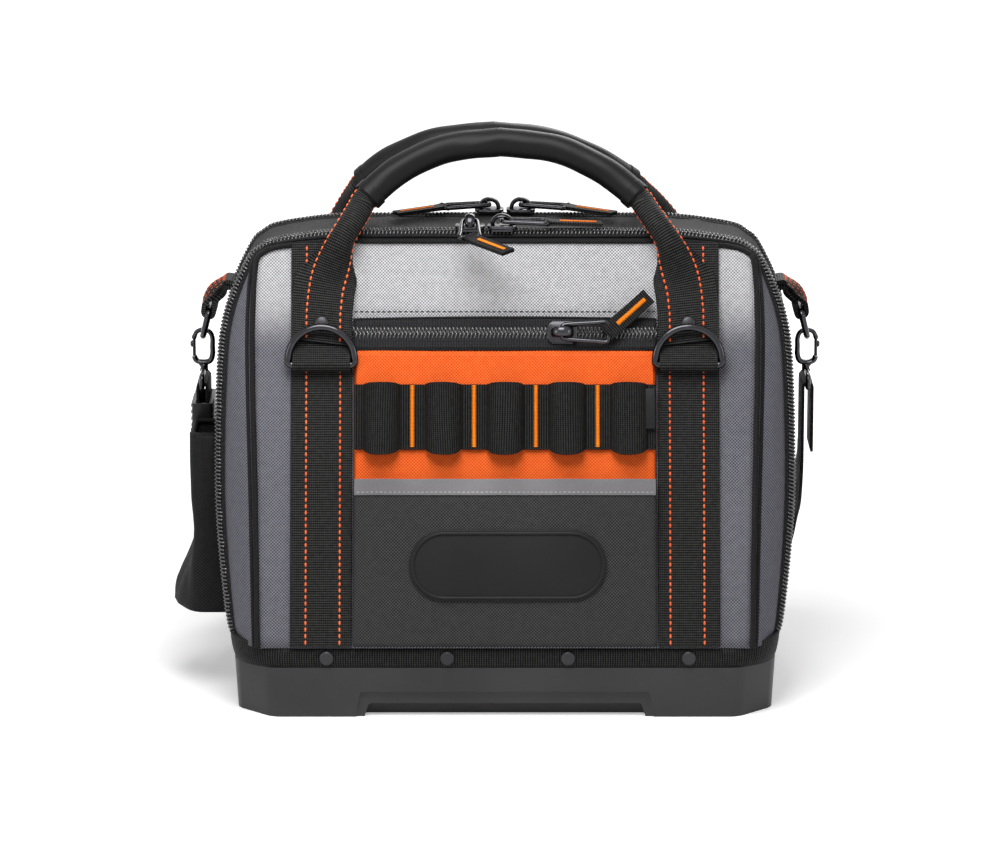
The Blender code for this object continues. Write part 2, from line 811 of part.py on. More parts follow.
def slip_depth(along):
    return pocket_depth(along) + SLIP_SLACK * min(along / POCKET_FULL_HEIGHT, 1.0)


def slip_base():
    return 2 * GAP + POCKET_FABRIC


def slip_wall_x():
    return POCKET_WALL_X + POCKET_FABRIC + GAP


def build_pocket_panel(material, panel):
    stations = (POCKET_FOOT, POCKET_FULL_HEIGHT, POCKET_TOP)
    rings = [
        pan_ring(s, GAP, pocket_depth(s), POCKET_WALL_X, POCKET_FABRIC, POCKET_HALF_WIDTH)
        for s in stations
    ]
    add_mesh("pocket_panel", loft(rings), material, panel)


def build_slip_pocket(material, panel):
    rings = [
        pan_ring(s, slip_base(), slip_depth(s), slip_wall_x(), POCKET_FABRIC, POCKET_HALF_WIDTH)
        for s in (POCKET_FOOT, POCKET_FULL_HEIGHT, SLIP_TOP)
    ]
    add_mesh("slip_pocket", loft(rings), material, panel)


def build_reflective_strip(material, panel):
    base = slip_base() + POCKET_FABRIC + GAP
    wall = slip_wall_x() + STRIP_THICKNESS + GAP
    rings = [
        pan_ring(s, base, slip_depth(s), wall, STRIP_THICKNESS, POCKET_HALF_WIDTH)
        for s in (SLIP_TOP - STRIP_HEIGHT, SLIP_TOP)
    ]
    add_mesh("reflective_strip", loft(rings), material, panel)


def pocket_face():
    """How far the front of the zip pocket stands out from the panel."""
    return GAP + POCKET_DEPTH + POCKET_FABRIC


def build_tool_loops(material, panel):
    ends = POCKET_WALL_X - POCKET_WALL_SLOPE * POCKET_DEPTH - GAP
    section = looped_section(
        LOOP_COUNT, LOOP_PITCH, LOOP_HALF_WIDTH, LOOP_DEPTH, LOOPS_THICKNESS, ends
    )
    base = pocket_face() + GAP
    outline = [Vector((x, -base - out, LOOPS_BOTTOM)) for x, out in section]
    add_mesh("tool_loops", extruded(outline, (0, 0, LOOPS_HEIGHT)), material, panel)


def stadium(half_length, height, centre_x, bottom, proud, steps=8):
    radius = height / 2
    points = []
    for side in (1, -1):
        for k in range(steps + 1):
            angle = side * math.pi / 2 - math.pi * k / steps
            x = centre_x + side * (half_length - radius) + radius * math.cos(angle)
            points.append(Vector((x, -proud, bottom + radius + radius * math.sin(angle))))
    return points


def build_badge(material, panel):
    """A bare rubber badge with a raised rim, lying on the slip pocket's sloping front."""
    slope = math.atan((SLIP_SLACK + POCKET_DEPTH - POCKET_FOOT_DEPTH) / POCKET_FULL_HEIGHT)
    seat = slip_base() + slip_depth(BADGE_BOTTOM) + POCKET_FABRIC + GAP
    rings = []
    levels = (
        (0.0, 0.0),
        (0.0, BADGE_THICKNESS),
        (BADGE_RIM, BADGE_THICKNESS),
        (BADGE_RIM, BADGE_THICKNESS - BADGE_RELIEF),
    )
    for inset, proud in levels:
        half = BADGE_HALF_LENGTH - inset
        height = BADGE_HEIGHT - 2 * inset
        rings.append(stadium(half, height, BADGE_CENTRE_X, inset, proud))
    bm = loft(rings)
    bmesh.ops.rotate(bm, verts=bm.verts, cent=(0, 0, 0), matrix=Matrix.Rotation(slope, 3, "X"))
    bmesh.ops.translate(bm, verts=bm.verts, vec=(0, -seat, BADGE_BOTTOM))
    add_mesh("badge", bm, material, panel)


def pocket_zip_face(along):
    """How far the zip over the pocket's mouth stands out: it slopes from the pocket to the panel."""
    share = (along - POCKET_TOP) / (POCKET_ZIP_TOP - POCKET_TOP)
    return GAP + POCKET_DEPTH * (1 - share) + POCKET_FABRIC


def build_pocket_zip(material, panel):
    low = POCKET_TOP + GAP
    half_coil = POCKET_COIL_WIDTH / 2
    stations = (low, POCKET_COIL_HEIGHT - half_coil, POCKET_COIL_HEIGHT + half_coil, POCKET_ZIP_TOP)
    coil_face = pocket_zip_face(POCKET_COIL_HEIGHT) + POCKET_COIL_RISE
    lower = [(s, pocket_zip_face(s) - POCKET_FABRIC) for s in stations]
    upper = [
        (stations[3], pocket_zip_face(stations[3])),
        (stations[2], pocket_zip_face(stations[2])),
        (stations[2], coil_face),
        (stations[1], coil_face),
        (stations[1], pocket_zip_face(stations[1])),
        (stations[0], pocket_zip_face(stations[0])),
    ]
    half = POCKET_WALL_X - POCKET_WALL_SLOPE * POCKET_DEPTH
    outline = [Vector((-half, -out, s)) for s, out in lower + upper]
    add_mesh("pocket_zip", extruded(outline, (2 * half, 0, 0)), material, panel)


# Handle anchors with their rivets and D-rings


def anchor_base():
    return 2 * GAP + WEBBING_THICKNESS


def dring_bar_out():
    return anchor_base() + DRING_FOLD + DRING_BORE_CLEARANCE + DRING_WIRE


def build_anchor(name, side, material, panel):
    """Folded webbing: a bore for the D-ring's bar at its foot, two flat layers above."""
    bore = DRING_WIRE + DRING_BORE_CLEARANCE
    fold = bore + DRING_FOLD
    base = anchor_base()
    face = base + ANCHOR_THICKNESS
    bar = dring_bar_out()
    flat = DRING_BAR_S + ANCHOR_FLAT_RISE
    outer = [(face, flat), (face, ANCHOR_TOP), (base, ANCHOR_TOP)]
    turns = [math.pi + math.radians(x) for x in range(0, 241, 30)]
    outer += [(bar + fold * math.cos(a), DRING_BAR_S + fold * math.sin(a)) for a in turns]
    turns = [math.radians(x) for x in range(0, 360, 30)]
    inner = [(bar + bore * math.cos(a), DRING_BAR_S + bore * math.sin(a)) for a in turns]
    x = side * WEBBING_X - ANCHOR_WIDTH / 2
    near = [Vector((x, -out, s)) for out, s in outer]
    hole = [Vector((x, -out, s)) for out, s in inner]
    add_mesh(name, holed(near, hole, (ANCHOR_WIDTH, 0, 0)), material, panel)


def dring_path(half_width, height):
    """A D in the XZ plane with its straight bar along X through the origin."""
    side = height - half_width
    points = [Vector((-half_width, 0, 0))]
    steps = 8
    for k in range(steps + 1):
        angle = math.pi * (1 - k / steps)
        points.append(Vector((half_width * math.cos(angle), 0, side + half_width * math.sin(angle))))
    points.append(Vector((half_width, 0, 0)))
    points.append(Vector((0, 0, 0)))
    return points


def build_front_dring(name, side, material, panel):
    bm = tube(dring_path(DRING_HALF_WIDTH, DRING_HEIGHT), DRING_WIRE, 8, closed=True, side_hint=(0, 1, 0))
    bmesh.ops.rotate(bm, verts=bm.verts, cent=(0, 0, 0), matrix=Matrix.Rotation(DRING_TILT, 3, "X"))
    pivot = Vector((side * WEBBING_X, -dring_bar_out(), DRING_BAR_S))
    bmesh.ops.translate(bm, verts=bm.verts, vec=pivot)
    add_mesh(name, bm, material, panel, pivot, smooth=True)


def build_anchor_rivet(name, side, material, panel):
    seat = anchor_base() + ANCHOR_THICKNESS + GAP
    centre = (side * WEBBING_X, -seat, ANCHOR_RIVET_S)
    rivet(name, centre, (0, -1, 0), (1, 0, 0), material, panel)


# Handles


def handle_pivot():
    proud = 2 * GAP + WEBBING_THICKNESS + WEBBING_THICKNESS / 2
    return panel_point(0.0, HANDLE_PIVOT_S, proud)


def handle_stations():
    """The strap's path from left to right, with its half width and half thickness at each point."""
    pivot = handle_pivot()
    half = []
    for x, rise, lean, width, thick in HANDLE_SHARES:
        y = pivot.y + (HANDLE_CROWN_Y - pivot.y) * lean
        z = pivot.z + (HANDLE_CROWN_Z - pivot.z) * rise
        half.append((Vector((-WEBBING_X * x, y, z)), width, thick))
    path = mirrored_path(smooth_path([p for p, _, _ in half], HANDLE_STEPS))
    sizes = []
    for (_, width, thick), (_, next_width, next_thick) in zip(half, half[1:]):
        for k in range(HANDLE_STEPS):
            t = k / HANDLE_STEPS
            sizes.append((width + (next_width - width) * t, thick + (next_thick - thick) * t))
    sizes.append(half[-1][1:])
    return path, sizes + sizes[-2::-1]


def build_handle(prefix, material, grip_material, parent):
    pivot = handle_pivot()
    path, sizes = handle_stations()
    out_hint = panel_point(0, 0, 1) - panel_point(0, 0, 0)
    start = GRIP_START * HANDLE_STEPS
    rings = []
    runs = tangents(path)
    # Both feet are cut square to the panel, so that no corner digs in when the handle folds
    runs[0] = panel_point(0, 1) - panel_point(0, 0)
    runs[-1] = -runs[0]
    for i, (point, tangent) in enumerate(zip(path, runs)):
        across = tangent.cross(out_hint).normalized()
        out = across.cross(tangent)
        width = WEBBING_WIDTH / 2 * sizes[i][0]
        thick = WEBBING_THICKNESS / 2 * sizes[i][1]
        if start <= i < len(path) - start:
            width = thick = GRIP_CORE_RADIUS
        corner = thick * (2 - math.sqrt(2))
        section = (
            (width, thick - corner), (width - corner, thick), (corner - width, thick),
            (-width, thick - corner), (-width, corner - thick), (corner - width, -thick),
            (width - corner, -thick), (width, corner - thick),
        )
        rings.append([point + a * across + b * out for a, b in section])
    add_mesh(f"{prefix}_handle_webbing", loft(rings), material, parent, pivot, smooth=True)

    covered = range(start, len(path) - start)
    walls = {GRIP_RADIUS: [], GRIP_BORE_RADIUS: []}
    for i in covered:
        across = runs[i].cross(out_hint).normalized()
        out = across.cross(runs[i])
        for radius, rings in walls.items():
            rings.append(disc(radius, GRIP_SIDES, path[i], across, out))
    skin = walls[GRIP_RADIUS] + walls[GRIP_BORE_RADIUS][::-1]
    add_mesh(f"{prefix}_handle_grip", loft(skin, closed=True), grip_material, parent, pivot, smooth=True)


# Sliders and pulls, drawn flat in a frame of their own: travel along X, up along Z


def slider_meshes(crown_turn):
    """Top plate and crown, with the crown's bore through the frame's origin."""
    top = -CROWN_LIFT
    half = SLIDER_LENGTH / 2
    side = SLIDER_WIDTH / 2
    nose = SLIDER_WIDTH / 4
    outline = (
        (-half, -nose), (-half + nose, -side), (half - nose, -side), (half, -nose),
        (half, nose), (half - nose, side), (nose - half, side), (-half, nose),
    )
    plate = extruded([(x, y, top - SLIDER_PLATE) for x, y in outline], (0, 0, SLIDER_PLATE))
    outer = []
    inner = []
    for k in range(CROWN_SIDES):
        angle = 2 * math.pi * k / CROWN_SIDES
        z = max(CROWN_RADIUS * math.sin(angle), top - SLIDER_PLATE / 2)
        outer.append(Vector((CROWN_RADIUS * math.cos(angle), -CROWN_HALF_WIDTH, z)))
        x = CROWN_BORE * math.cos(angle)
        inner.append(Vector((x, -CROWN_HALF_WIDTH, CROWN_BORE * math.sin(angle))))
    crown = holed(outer, inner, (0, 2 * CROWN_HALF_WIDTH, 0))
    turn = Matrix.Rotation(crown_turn, 3, "Z")
    bmesh.ops.rotate(crown, verts=crown.verts, cent=(0, 0, 0), matrix=turn)
    return [plate, crown]


def pull_meshes(tab_turn):
    """A wire bail whose short side passes through the crown along Y, and a fabric tab at its end."""
    length = BAIL_LENGTH
    near, far = BAIL_HALF_WIDTH, BAIL_END_HALF_WIDTH
    corner = 2 * BAIL_WIRE
    bail_path = [
        Vector((0, -near + corner, 0)), Vector((corner / 3, -near + corner / 3, 0)),
        Vector((corner, -near, 0)), Vector((length - corner, -far, 0)),
        Vector((length - corner / 3, -far + corner / 3, 0)), Vector((length, -far + corner, 0)),
        Vector((length, far - corner, 0)), Vector((length - corner / 3, far - corner / 3, 0)),
        Vector((length - corner, far, 0)), Vector((corner, near, 0)),
        Vector((corner / 3, near - corner / 3, 0)), Vector((0, near - corner, 0)),
    ]
    bail = tube(bail_path, BAIL_WIRE, 6, closed=True)
    half = TAB_WIDTH / 2
    thick = TAB_THICKNESS / 2
    tab = block((-TAB_OVERLAP, -half, -thick), (TAB_LENGTH, half, thick))
    bmesh.ops.rotate(tab, verts=tab.verts, cent=(0, 0, 0), matrix=Matrix.Rotation(tab_turn, 3, "Z"))
    bmesh.ops.translate(tab, verts=tab.verts, vec=(length, 0, 0))
    return [tab, bail]


def placed(meshes, matrix):
    for bm in meshes:
        bmesh.ops.transform(bm, matrix=matrix, verts=bm.verts)
    return meshes


def seat_height():
    """From the zip line up to the axis of the slider's crown."""
    return ZIP_COIL_RISE + GAP + SLIDER_PLATE + CROWN_LIFT


def build_top_slider(cover, name, x, direction, hung, material, parent):
    """A slider on the straight top of a cover's zip, and the pull in its crown."""
    pivot = Vector((x, ZIP_TOP_Y, ZIP_TOP_Z + seat_height()))
    # A hung pull swings about X; the others lie flat, turned slightly on to the spine
    if hung:
        turn = -math.pi / 2
        droop = HUNG_PULL_DROOP
        tab_turn = HUNG_TAB_TURN
    else:
        turn = PULL_TURN if direction > 0 else math.pi - PULL_TURN
        droop = PULL_DROOP
        tab_turn = 0.0
    stand = Matrix.Translation(pivot)
    meshes = placed(slider_meshes(turn), stand)
    united(f"slider_{cover}_{name}", meshes, material, parent, pivot)
    frame = stand @ Matrix.Rotation(turn, 4, "Z") @ Matrix.Rotation(droop, 4, "Y")
    united(f"pull_{cover}_{name}", placed(pull_meshes(tab_turn), frame), material, parent, pivot)


def build_top_sliders(cover, meet_x, hung_name, flip, material, parent):
    """Two sliders that meet on the zip; flip is -1 where the cover's frame is turned half round."""
    for name, world_side in (("left", -1), ("right", 1)):
        side = world_side * flip
        x = flip * meet_x + side * SLIDER_PITCH / 2
        build_top_slider(cover, name, x, side, name == hung_name, material, parent)


def build_pocket_slider(material, panel):
    """The slider on the pocket's zip, drawn lying on the panel: its up is the panel's out."""
    out = pocket_zip_face(POCKET_COIL_HEIGHT) + POCKET_COIL_RISE + 2 * GAP + SLIDER_PLATE + CROWN_LIFT
    pivot = Vector((POCKET_SLIDER_X, -out, POCKET_COIL_HEIGHT))
    lay = Matrix.Translation(pivot) @ Matrix.Rotation(math.pi / 2, 4, "X")
    united("pocket_slider", placed(slider_meshes(0.0), lay), material, panel, pivot)
    pull_frame = lay @ Matrix.Rotation(POCKET_PULL_DROOP, 4, "Y")
    united("pocket_pull", placed(pull_meshes(POCKET_TAB_TURN), pull_frame), material, panel, pivot)


# Sides


def side_surface(low_z, high_z):
    """The spine's side face as half width and height, between two heights."""
    line = [(-p.x, p.z) for p in spine_surface()]
    ends = []
    for z in (low_z, high_z):
        pairs = [(a, b) for a, b in zip(line, line[1:]) if a[1] <= z <= b[1]]
        (x_low, z_low), (x_high, z_high) = pairs[0]
        ends.append((x_low + (x_high - x_low) * (z - z_low) / (z_high - z_low), z))
    return [ends[0]] + [(x, z) for x, z in line if low_z < z < high_z] + [ends[1]]


def build_side_tab(name, side, material):
    """A short loop of webbing whose fold holds the ring's bar."""
    wall = SIDE_TAB_BORE + SIDE_TAB_WALL
    skin = 2 * GAP
    foot_z = RING_BAR_Z - SIDE_TAB_BORE
    outer = [(RING_BAR_X - SIDE_TAB_BORE, SIDE_TAB_TOP_Z)]
    outer += [(x + skin, z) for x, z in side_surface(foot_z, SIDE_TAB_TOP_Z)[::-1]]
    turns = [math.radians(x) for x in range(-120, 61, 30)]
    outer += [(RING_BAR_X + wall * math.cos(a), RING_BAR_Z + wall * math.sin(a)) for a in turns]
    bore = SIDE_TAB_BORE
    turns = [math.radians(x) for x in range(0, 360, 30)]
    inner = [(RING_BAR_X + bore * math.cos(a), RING_BAR_Z + bore * math.sin(a)) for a in turns]
    start_y = SIDE_RING_Y - TAB_HALF_WIDTH_Y
    near = [Vector((side * x, start_y, z)) for x, z in outer]
    hole = [Vector((side * x, start_y, z)) for x, z in inner]
    add_mesh(f"side_tab_{name}", holed(near, hole, (0, 2 * TAB_HALF_WIDTH_Y, 0)), material)


def ring_bow(side):
    """Where the wire runs at the low end of a side ring."""
    x = RING_BAR_X + RING_HEIGHT * math.sin(RING_LEAN)
    z = RING_BAR_Z - RING_HEIGHT * math.cos(RING_LEAN)
    return Vector((side * x, SIDE_RING_Y, z))


def build_side_ring(name, side, material):
    bm = tube(dring_path(RING_HALF_WIDTH, RING_HEIGHT), RING_WIRE, 8, closed=True, side_hint=(0, 1, 0))
    bmesh.ops.rotate(bm, verts=bm.verts, cent=(0, 0, 0), matrix=Matrix.Rotation(math.pi / 2, 3, "Z"))
    fall = side * (math.pi - RING_LEAN)
    bmesh.ops.rotate(bm, verts=bm.verts, cent=(0, 0, 0), matrix=Matrix.Rotation(fall, 3, "Y"))
    pivot = Vector((side * RING_BAR_X, SIDE_RING_Y, RING_BAR_Z))
    bmesh.ops.translate(bm, verts=bm.verts, vec=pivot)
    add_mesh(f"side_ring_{name}", bm, material, None, pivot, smooth=True)


def hook_top():
    return ring_bow(1).z + RING_WIRE + 2 * GAP + HOOK_LIMB


def hook_bottom():
    return hook_top() - HOOK_LENGTH


def eye_bar_z():
    return hook_bottom() - NECK_LENGTH - EYE_HEIGHT


def gate_pivot(side):
    x = ring_bow(1).x + HOOK_HALF_WIDTH - HOOK_LIMB / 2
    z = hook_top() - HOOK_LIMB - 2 * (RING_WIRE + GATE_CLEARANCE) - GATE_LENGTH
    return Vector((side * x, SIDE_RING_Y, z))


def hook_outline():
    """A J shape, open on its outer side where the gate closes it, as across and height."""
    centre = ring_bow(1).x
    half = HOOK_HALF_WIDTH
    inner = half - HOOK_LIMB
    top = hook_top()
    bottom = hook_bottom()
    pivot = gate_pivot(1)
    nose = pivot.z + GATE_LENGTH + GATE_CLEARANCE
    sill = pivot.z - GATE_THICKNESS
    round_share = 0.7
    return [
        (centre + half, nose), (centre + half * round_share, top - half * (1 - round_share)),
        (centre, top), (centre - half * round_share, top - half * (1 - round_share)),
        (centre - half, nose), (centre - half, sill), (centre - half * round_share, bottom),
        (centre + half * round_share, bottom), (centre + half, sill), (centre + inner, sill),
        (centre + inner * round_share, bottom + HOOK_LIMB), (centre - inner * round_share, bottom + HOOK_LIMB),
        (centre - inner, sill), (centre - inner, nose),
        (centre - inner * round_share, top - HOOK_LIMB),
        (centre + inner * round_share, top - HOOK_LIMB),
        (centre + inner, nose),
    ]


def eye_path(side):
    """The rectangular wire loop under the swivel that the strap passes through."""
    x = side * ring_bow(1).x
    high = eye_bar_z() + EYE_HEIGHT
    low = eye_bar_z()
    y_low = SIDE_RING_Y - EYE_HALF_WIDTH
    y_high = SIDE_RING_Y + EYE_HALF_WIDTH
    corner = EYE_WIRE
    return [
        Vector((x, y_low, low + corner)), Vector((x, y_low, high - corner)),
        Vector((x, y_low + corner, high)), Vector((x, y_high - corner, high)),
        Vector((x, y_high, high - corner)), Vector((x, y_high, low + corner)),
        Vector((x, y_high - corner, low)), Vector((x, y_low + corner, low)),
    ]


def build_snap_hook(name, side, material):
    start = SIDE_RING_Y - HOOK_THICKNESS / 2
    body = extruded([(side * x, start, z) for x, z in hook_outline()], (0, HOOK_THICKNESS, 0))
    centre = side * ring_bow(1).x
    neck_low = eye_bar_z() + EYE_HEIGHT - EYE_WIRE / 2
    neck_high = hook_bottom() + HOOK_LIMB / 2
    neck = loft([
        disc(HOOK_THICKNESS / 2, 10, (centre, SIDE_RING_Y, z), (1, 0, 0), (0, 1, 0))
        for z in (neck_low, neck_high)
    ])
    eye = tube(eye_path(side), EYE_WIRE, 6, closed=True, side_hint=(1, 0, 0))
    united(f"snap_hook_{name}", [body, neck, eye], material)

    pivot = gate_pivot(side)
    half = GATE_THICKNESS / 2
    low = (pivot.x - half, start, pivot.z)
    high = (pivot.x + half, start + HOOK_THICKNESS, pivot.z + GATE_LENGTH)
    add_mesh(f"hook_gate_{name}", block(low, high), material, None, pivot)


def build_side_pocket(material):
    """A narrow open-topped pocket on the left side that flares at its foot."""
    front, rear = POCKET_SIDE_FRONT_Y, POCKET_SIDE_REAR_Y

    def ring(x, z, inset):
        flare = (POCKET_SIDE_TOP_Z - z) / (POCKET_SIDE_TOP_Z - POCKET_SIDE_BOTTOM_Z)
        inner_x = x + 2 * GAP + inset
        outer_x = POCKET_SIDE_OUTER_X + POCKET_SIDE_FLARE * flare - inset
        return [
            Vector((-inner_x, front + inset, z)), Vector((-outer_x, front + inset, z)),
            Vector((-outer_x, rear - inset, z)), Vector((-inner_x, rear - inset, z)),
        ]

    face = side_surface(POCKET_SIDE_BOTTOM_Z, POCKET_SIDE_TOP_Z)
    lining = side_surface(POCKET_SIDE_BOTTOM_Z + POCKET_SIDE_WALL, POCKET_SIDE_TOP_Z)
    rings = [ring(x, z, 0.0) for x, z in face]
    rings += [ring(x, z, POCKET_SIDE_WALL) for x, z in lining[::-1]]
    add_mesh("side_pocket", loft(rings), material)


# Shoulder strap


def strap_side_points():
    """The right end of the strap's middle line, from its tail over the hook's eye to behind the bag."""
    x = ring_bow(1).x
    y = SIDE_RING_Y
    bar = eye_bar_z()
    r = STRAP_LOOP_RADIUS
    tail = ADJUSTER_TOP_Z - ADJUSTER_HEIGHT - STRAP_TAIL
    return [
        (x + r, y, tail), (x + r, y, ADJUSTER_TOP_Z), (x + r, y, bar),
        (x + r * math.sqrt(0.5), y, bar + r * math.sqrt(0.5)), (x, y, bar + r),
        (x - r * math.sqrt(0.5), y, bar + r * math.sqrt(0.5)), (x - r, y, bar),
        (x - r, y, ADJUSTER_TOP_Z), (x - r, y, tail),
    ]


# From the adjuster down to where the strap lies behind the bag, as shares of the way in X, Y and Z
STRAP_FALL_SHARES = (
    (0.000, 0.042, 0.091),
    (-0.003, 0.141, 0.192),
    (0.009, 0.282, 0.293),
    (0.042, 0.437, 0.460),
    (0.123, 0.592, 0.634),
    (0.269, 0.739, 0.793),
    (0.488, 0.866, 0.924),
    (0.751, 0.958, 0.989),
)
# How far the strap's width has turned from level: 0 is along Y, 1 is square to its own slope
STRAP_TURN_SHARES = (0.3, 0.7, 1.0, 1.0, 0.9, 0.7, 0.4, 0.15)


def strap_path():
    """Middle line and width direction of the whole strap, from left tail to right tail."""
    loop = [Vector(p) for p in strap_side_points()]
    floor = [Vector((PAD_HALF_LENGTH * k / 3, PAD_Y, STRAP_FLOOR_Z)) for k in (4, 3, 2, 1)]
    way = floor[0] - loop[-1]
    fall = [loop[-1] + Vector((way.x * x, way.y * y, way.z * z)) for x, y, z in STRAP_FALL_SHARES]
    right = loop + fall + floor
    turns = [0.0] * len(loop) + list(STRAP_TURN_SHARES) + [0.0] * len(floor)
    middle = [Vector((0.0, PAD_Y, STRAP_FLOOR_Z))]
    path = [Vector((-p.x, p.y, p.z)) for p in right] + middle + right[::-1]
    turns = turns + [0.0] + turns[::-1]
    return path, turns


def build_strap(material):
    path, turns = strap_path()
    rings = []
    half = WEBBING_WIDTH / 2
    thick = STRAP_THICKNESS / 2
    for point, tangent, turn in zip(path, tangents(path), turns):
        level = Vector((0.0, 1.0, 0.0))
        level = (level - level.dot(tangent) * tangent).normalized()
        slope = Vector((0.0, tangent.y, tangent.z))
        steep = Vector((0.0, abs(slope.z), abs(slope.y))).normalized() if slope.length else level
        steep = (steep - steep.dot(tangent) * tangent).normalized()
        across = (level * (1 - turn) + steep * turn).normalized()
        out = tangent.cross(across)
        corners = ((-half, -thick), (half, -thick), (half, thick), (-half, thick))
        rings.append([point + a * across + b * out for a, b in corners])
    add_mesh("shoulder_strap", loft(rings), material)
    length = sum((b - a).length for a, b in zip(path, path[1:]))
    print(f"shoulder strap length {length:.3f} m")


def build_pad(material):
    half_slot = WEBBING_WIDTH / 2 + PAD_SLOT
    slot_low = STRAP_FLOOR_Z - STRAP_THICKNESS / 2 - PAD_SLOT
    slot_high = STRAP_FLOOR_Z + STRAP_THICKNESS / 2 + PAD_SLOT
    bevel = PAD_TOP_Z / 4
    outer = (
        (-PAD_HALF_WIDTH, bevel), (-PAD_HALF_WIDTH + bevel, 0.0), (PAD_HALF_WIDTH - bevel, 0.0),
        (PAD_HALF_WIDTH, bevel), (PAD_HALF_WIDTH, PAD_TOP_Z - bevel), (PAD_HALF_WIDTH - bevel, PAD_TOP_Z),
        (bevel - PAD_HALF_WIDTH, PAD_TOP_Z), (-PAD_HALF_WIDTH, PAD_TOP_Z - bevel),
    )
    inner = (
        (-half_slot, slot_low), (-half_slot / 2, slot_low), (half_slot / 2, slot_low), (half_slot, slot_low),
        (half_slot, slot_high), (half_slot / 2, slot_high), (-half_slot / 2, slot_high), (-half_slot, slot_high),
    )
    near = [Vector((-PAD_HALF_LENGTH, PAD_Y + y, z)) for y, z in outer]
    hole = [Vector((-PAD_HALF_LENGTH, PAD_Y + y, z)) for y, z in inner]
    centre = Vector((0.0, PAD_Y, STRAP_FLOOR_Z))
    add_mesh("shoulder_pad", holed(near, hole, (2 * PAD_HALF_LENGTH, 0, 0)), material, None, centre)


def build_adjuster(material):
    """A frame round both layers of the strap on the left, free to slide along them."""
    x = -ring_bow(1).x
    inner_x = STRAP_LOOP_RADIUS + STRAP_THICKNESS / 2 + ADJUSTER_CLEARANCE
    inner_y = WEBBING_WIDTH / 2 + ADJUSTER_CLEARANCE
    outer_x = inner_x + ADJUSTER_FRAME
    outer_y = inner_y + ADJUSTER_FRAME
    corners = ((-1, -1), (1, -1), (1, 1), (-1, 1))
    bottom = ADJUSTER_TOP_Z - ADJUSTER_HEIGHT
    near = [Vector((x + a * outer_x, SIDE_RING_Y + b * outer_y, bottom)) for a, b in corners]
    hole = [Vector((x + a * inner_x, SIDE_RING_Y + b * inner_y, bottom)) for a, b in corners]
    centre = Vector((x, SIDE_RING_Y, ADJUSTER_TOP_Z - ADJUSTER_HEIGHT / 2))
    add_mesh("strap_adjuster", holed(near, hole, (0, 0, ADJUSTER_HEIGHT)), material, None, centre)


# Assembly


def cover_hinge():
    return Vector((0.0, PANEL_BOTTOM_Y - HINGE_PROUD, FABRIC_BOTTOM))


def build_front(materials):
    side = empty("front_side")
    cover = empty("front_cover_hinge", side, cover_hinge())
    body = empty("front_cover", cover, -cover_hinge())
    panel = empty("front_panel", body, panel_point(0, 0), (-PANEL_LEAN, 0.0, 0.0))
    build_shell("front_shell", materials["grey"], body)
    build_cover_zip("front_zip", materials["black"], body)
    build_webbing("front", (("left", -1), ("right", 1)), materials["webbing"], panel)
    build_pocket_panel(materials["orange"], panel)
    build_slip_pocket(materials["dark"], panel)
    build_reflective_strip(materials["tape"], panel)
    build_tool_loops(materials["webbing"], panel)
    build_badge(materials["rubber"], panel)
    build_pocket_zip(materials["webbing"], panel)
    for name, side_sign in (("left", -1), ("right", 1)):
        build_anchor(f"front_anchor_{name}", side_sign, materials["webbing"], panel)
        build_anchor_rivet(f"front_rivet_{name}", side_sign, materials["rivet"], panel)
        build_front_dring(f"front_dring_{name}", side_sign, materials["metal"], panel)
    build_handle("front", materials["webbing"], materials["rubber"], body)
    build_top_sliders("front", FRONT_MEET_X, "left", 1, materials["metal"], body)
    build_pocket_slider(materials["metal"], panel)


def build_rear(materials):
    """The rear cover is the front one turned half round, plain but for its webbing and handle."""
    side = empty("rear_side", None, (0.0, 0.0, 0.0), (0.0, 0.0, math.pi))
    cover = empty("rear_cover_hinge", side, cover_hinge())
    body = empty("rear_cover", cover, -cover_hinge())
    panel = empty("rear_panel", body, panel_point(0, 0), (-PANEL_LEAN, 0.0, 0.0))
    build_shell("rear_shell", materials["grey"], body)
    build_cover_zip("rear_zip", materials["black"], body)
    build_webbing("rear", (("left", 1), ("right", -1)), materials["webbing"], panel)
    build_handle("rear", materials["webbing"], materials["rubber"], body)
    build_top_sliders("rear", REAR_MEET_X, None, -1, materials["metal"], body)


def build_middle(materials):
    build_tray(materials["plastic"])
    build_board(materials["board"])
    build_binding(materials["webbing"])
    build_rim_rivets(materials["rivet"])
    build_spine(materials["dark"])
    build_spine_zips(materials["black"])
    build_divider(materials["board"])
    build_divider_pockets(materials["dark"])
    for name, side in (("left", -1), ("right", 1)):
        build_side_tab(name, side, materials["webbing"])
        build_side_ring(name, side, materials["metal"])
        build_snap_hook(name, side, materials["metal"])
    build_side_pocket(materials["dark"])
    build_strap(materials["webbing"])
    build_pad(materials["dark"])
    build_adjuster(materials["plastic"])


def main():
    clear_scene()
    materials = {
        "grey": grey_fabric(),
        "dark": dark_fabric(),
        "orange": orange_fabric(),
        "webbing": black_webbing(),
        "black": make_material("zip_tape", "232325", 0.7),
        "rubber": grip_rubber(),
        "plastic": moulded_plastic(),
        "metal": black_metal(),
        "rivet": rivet_metal(),
        "tape": reflective_tape(),
        "board": liner_board(),
    }
    build_middle(materials)
    build_front(materials)
    build_rear(materials)


main()
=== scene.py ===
# %% [markdown]
# # A zip-top tool bag
# The bag stands on a moulded tray. Two stiffened fabric covers lean against a spine, and a
# heavy coil zip closes each one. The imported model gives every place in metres, with the front
# towards -Y, so the first step loads it and notes the box that all the pieces stay in.

# %% Load the frame
import math

import bmesh
import bpy
from mathutils import Matrix, Vector, noise


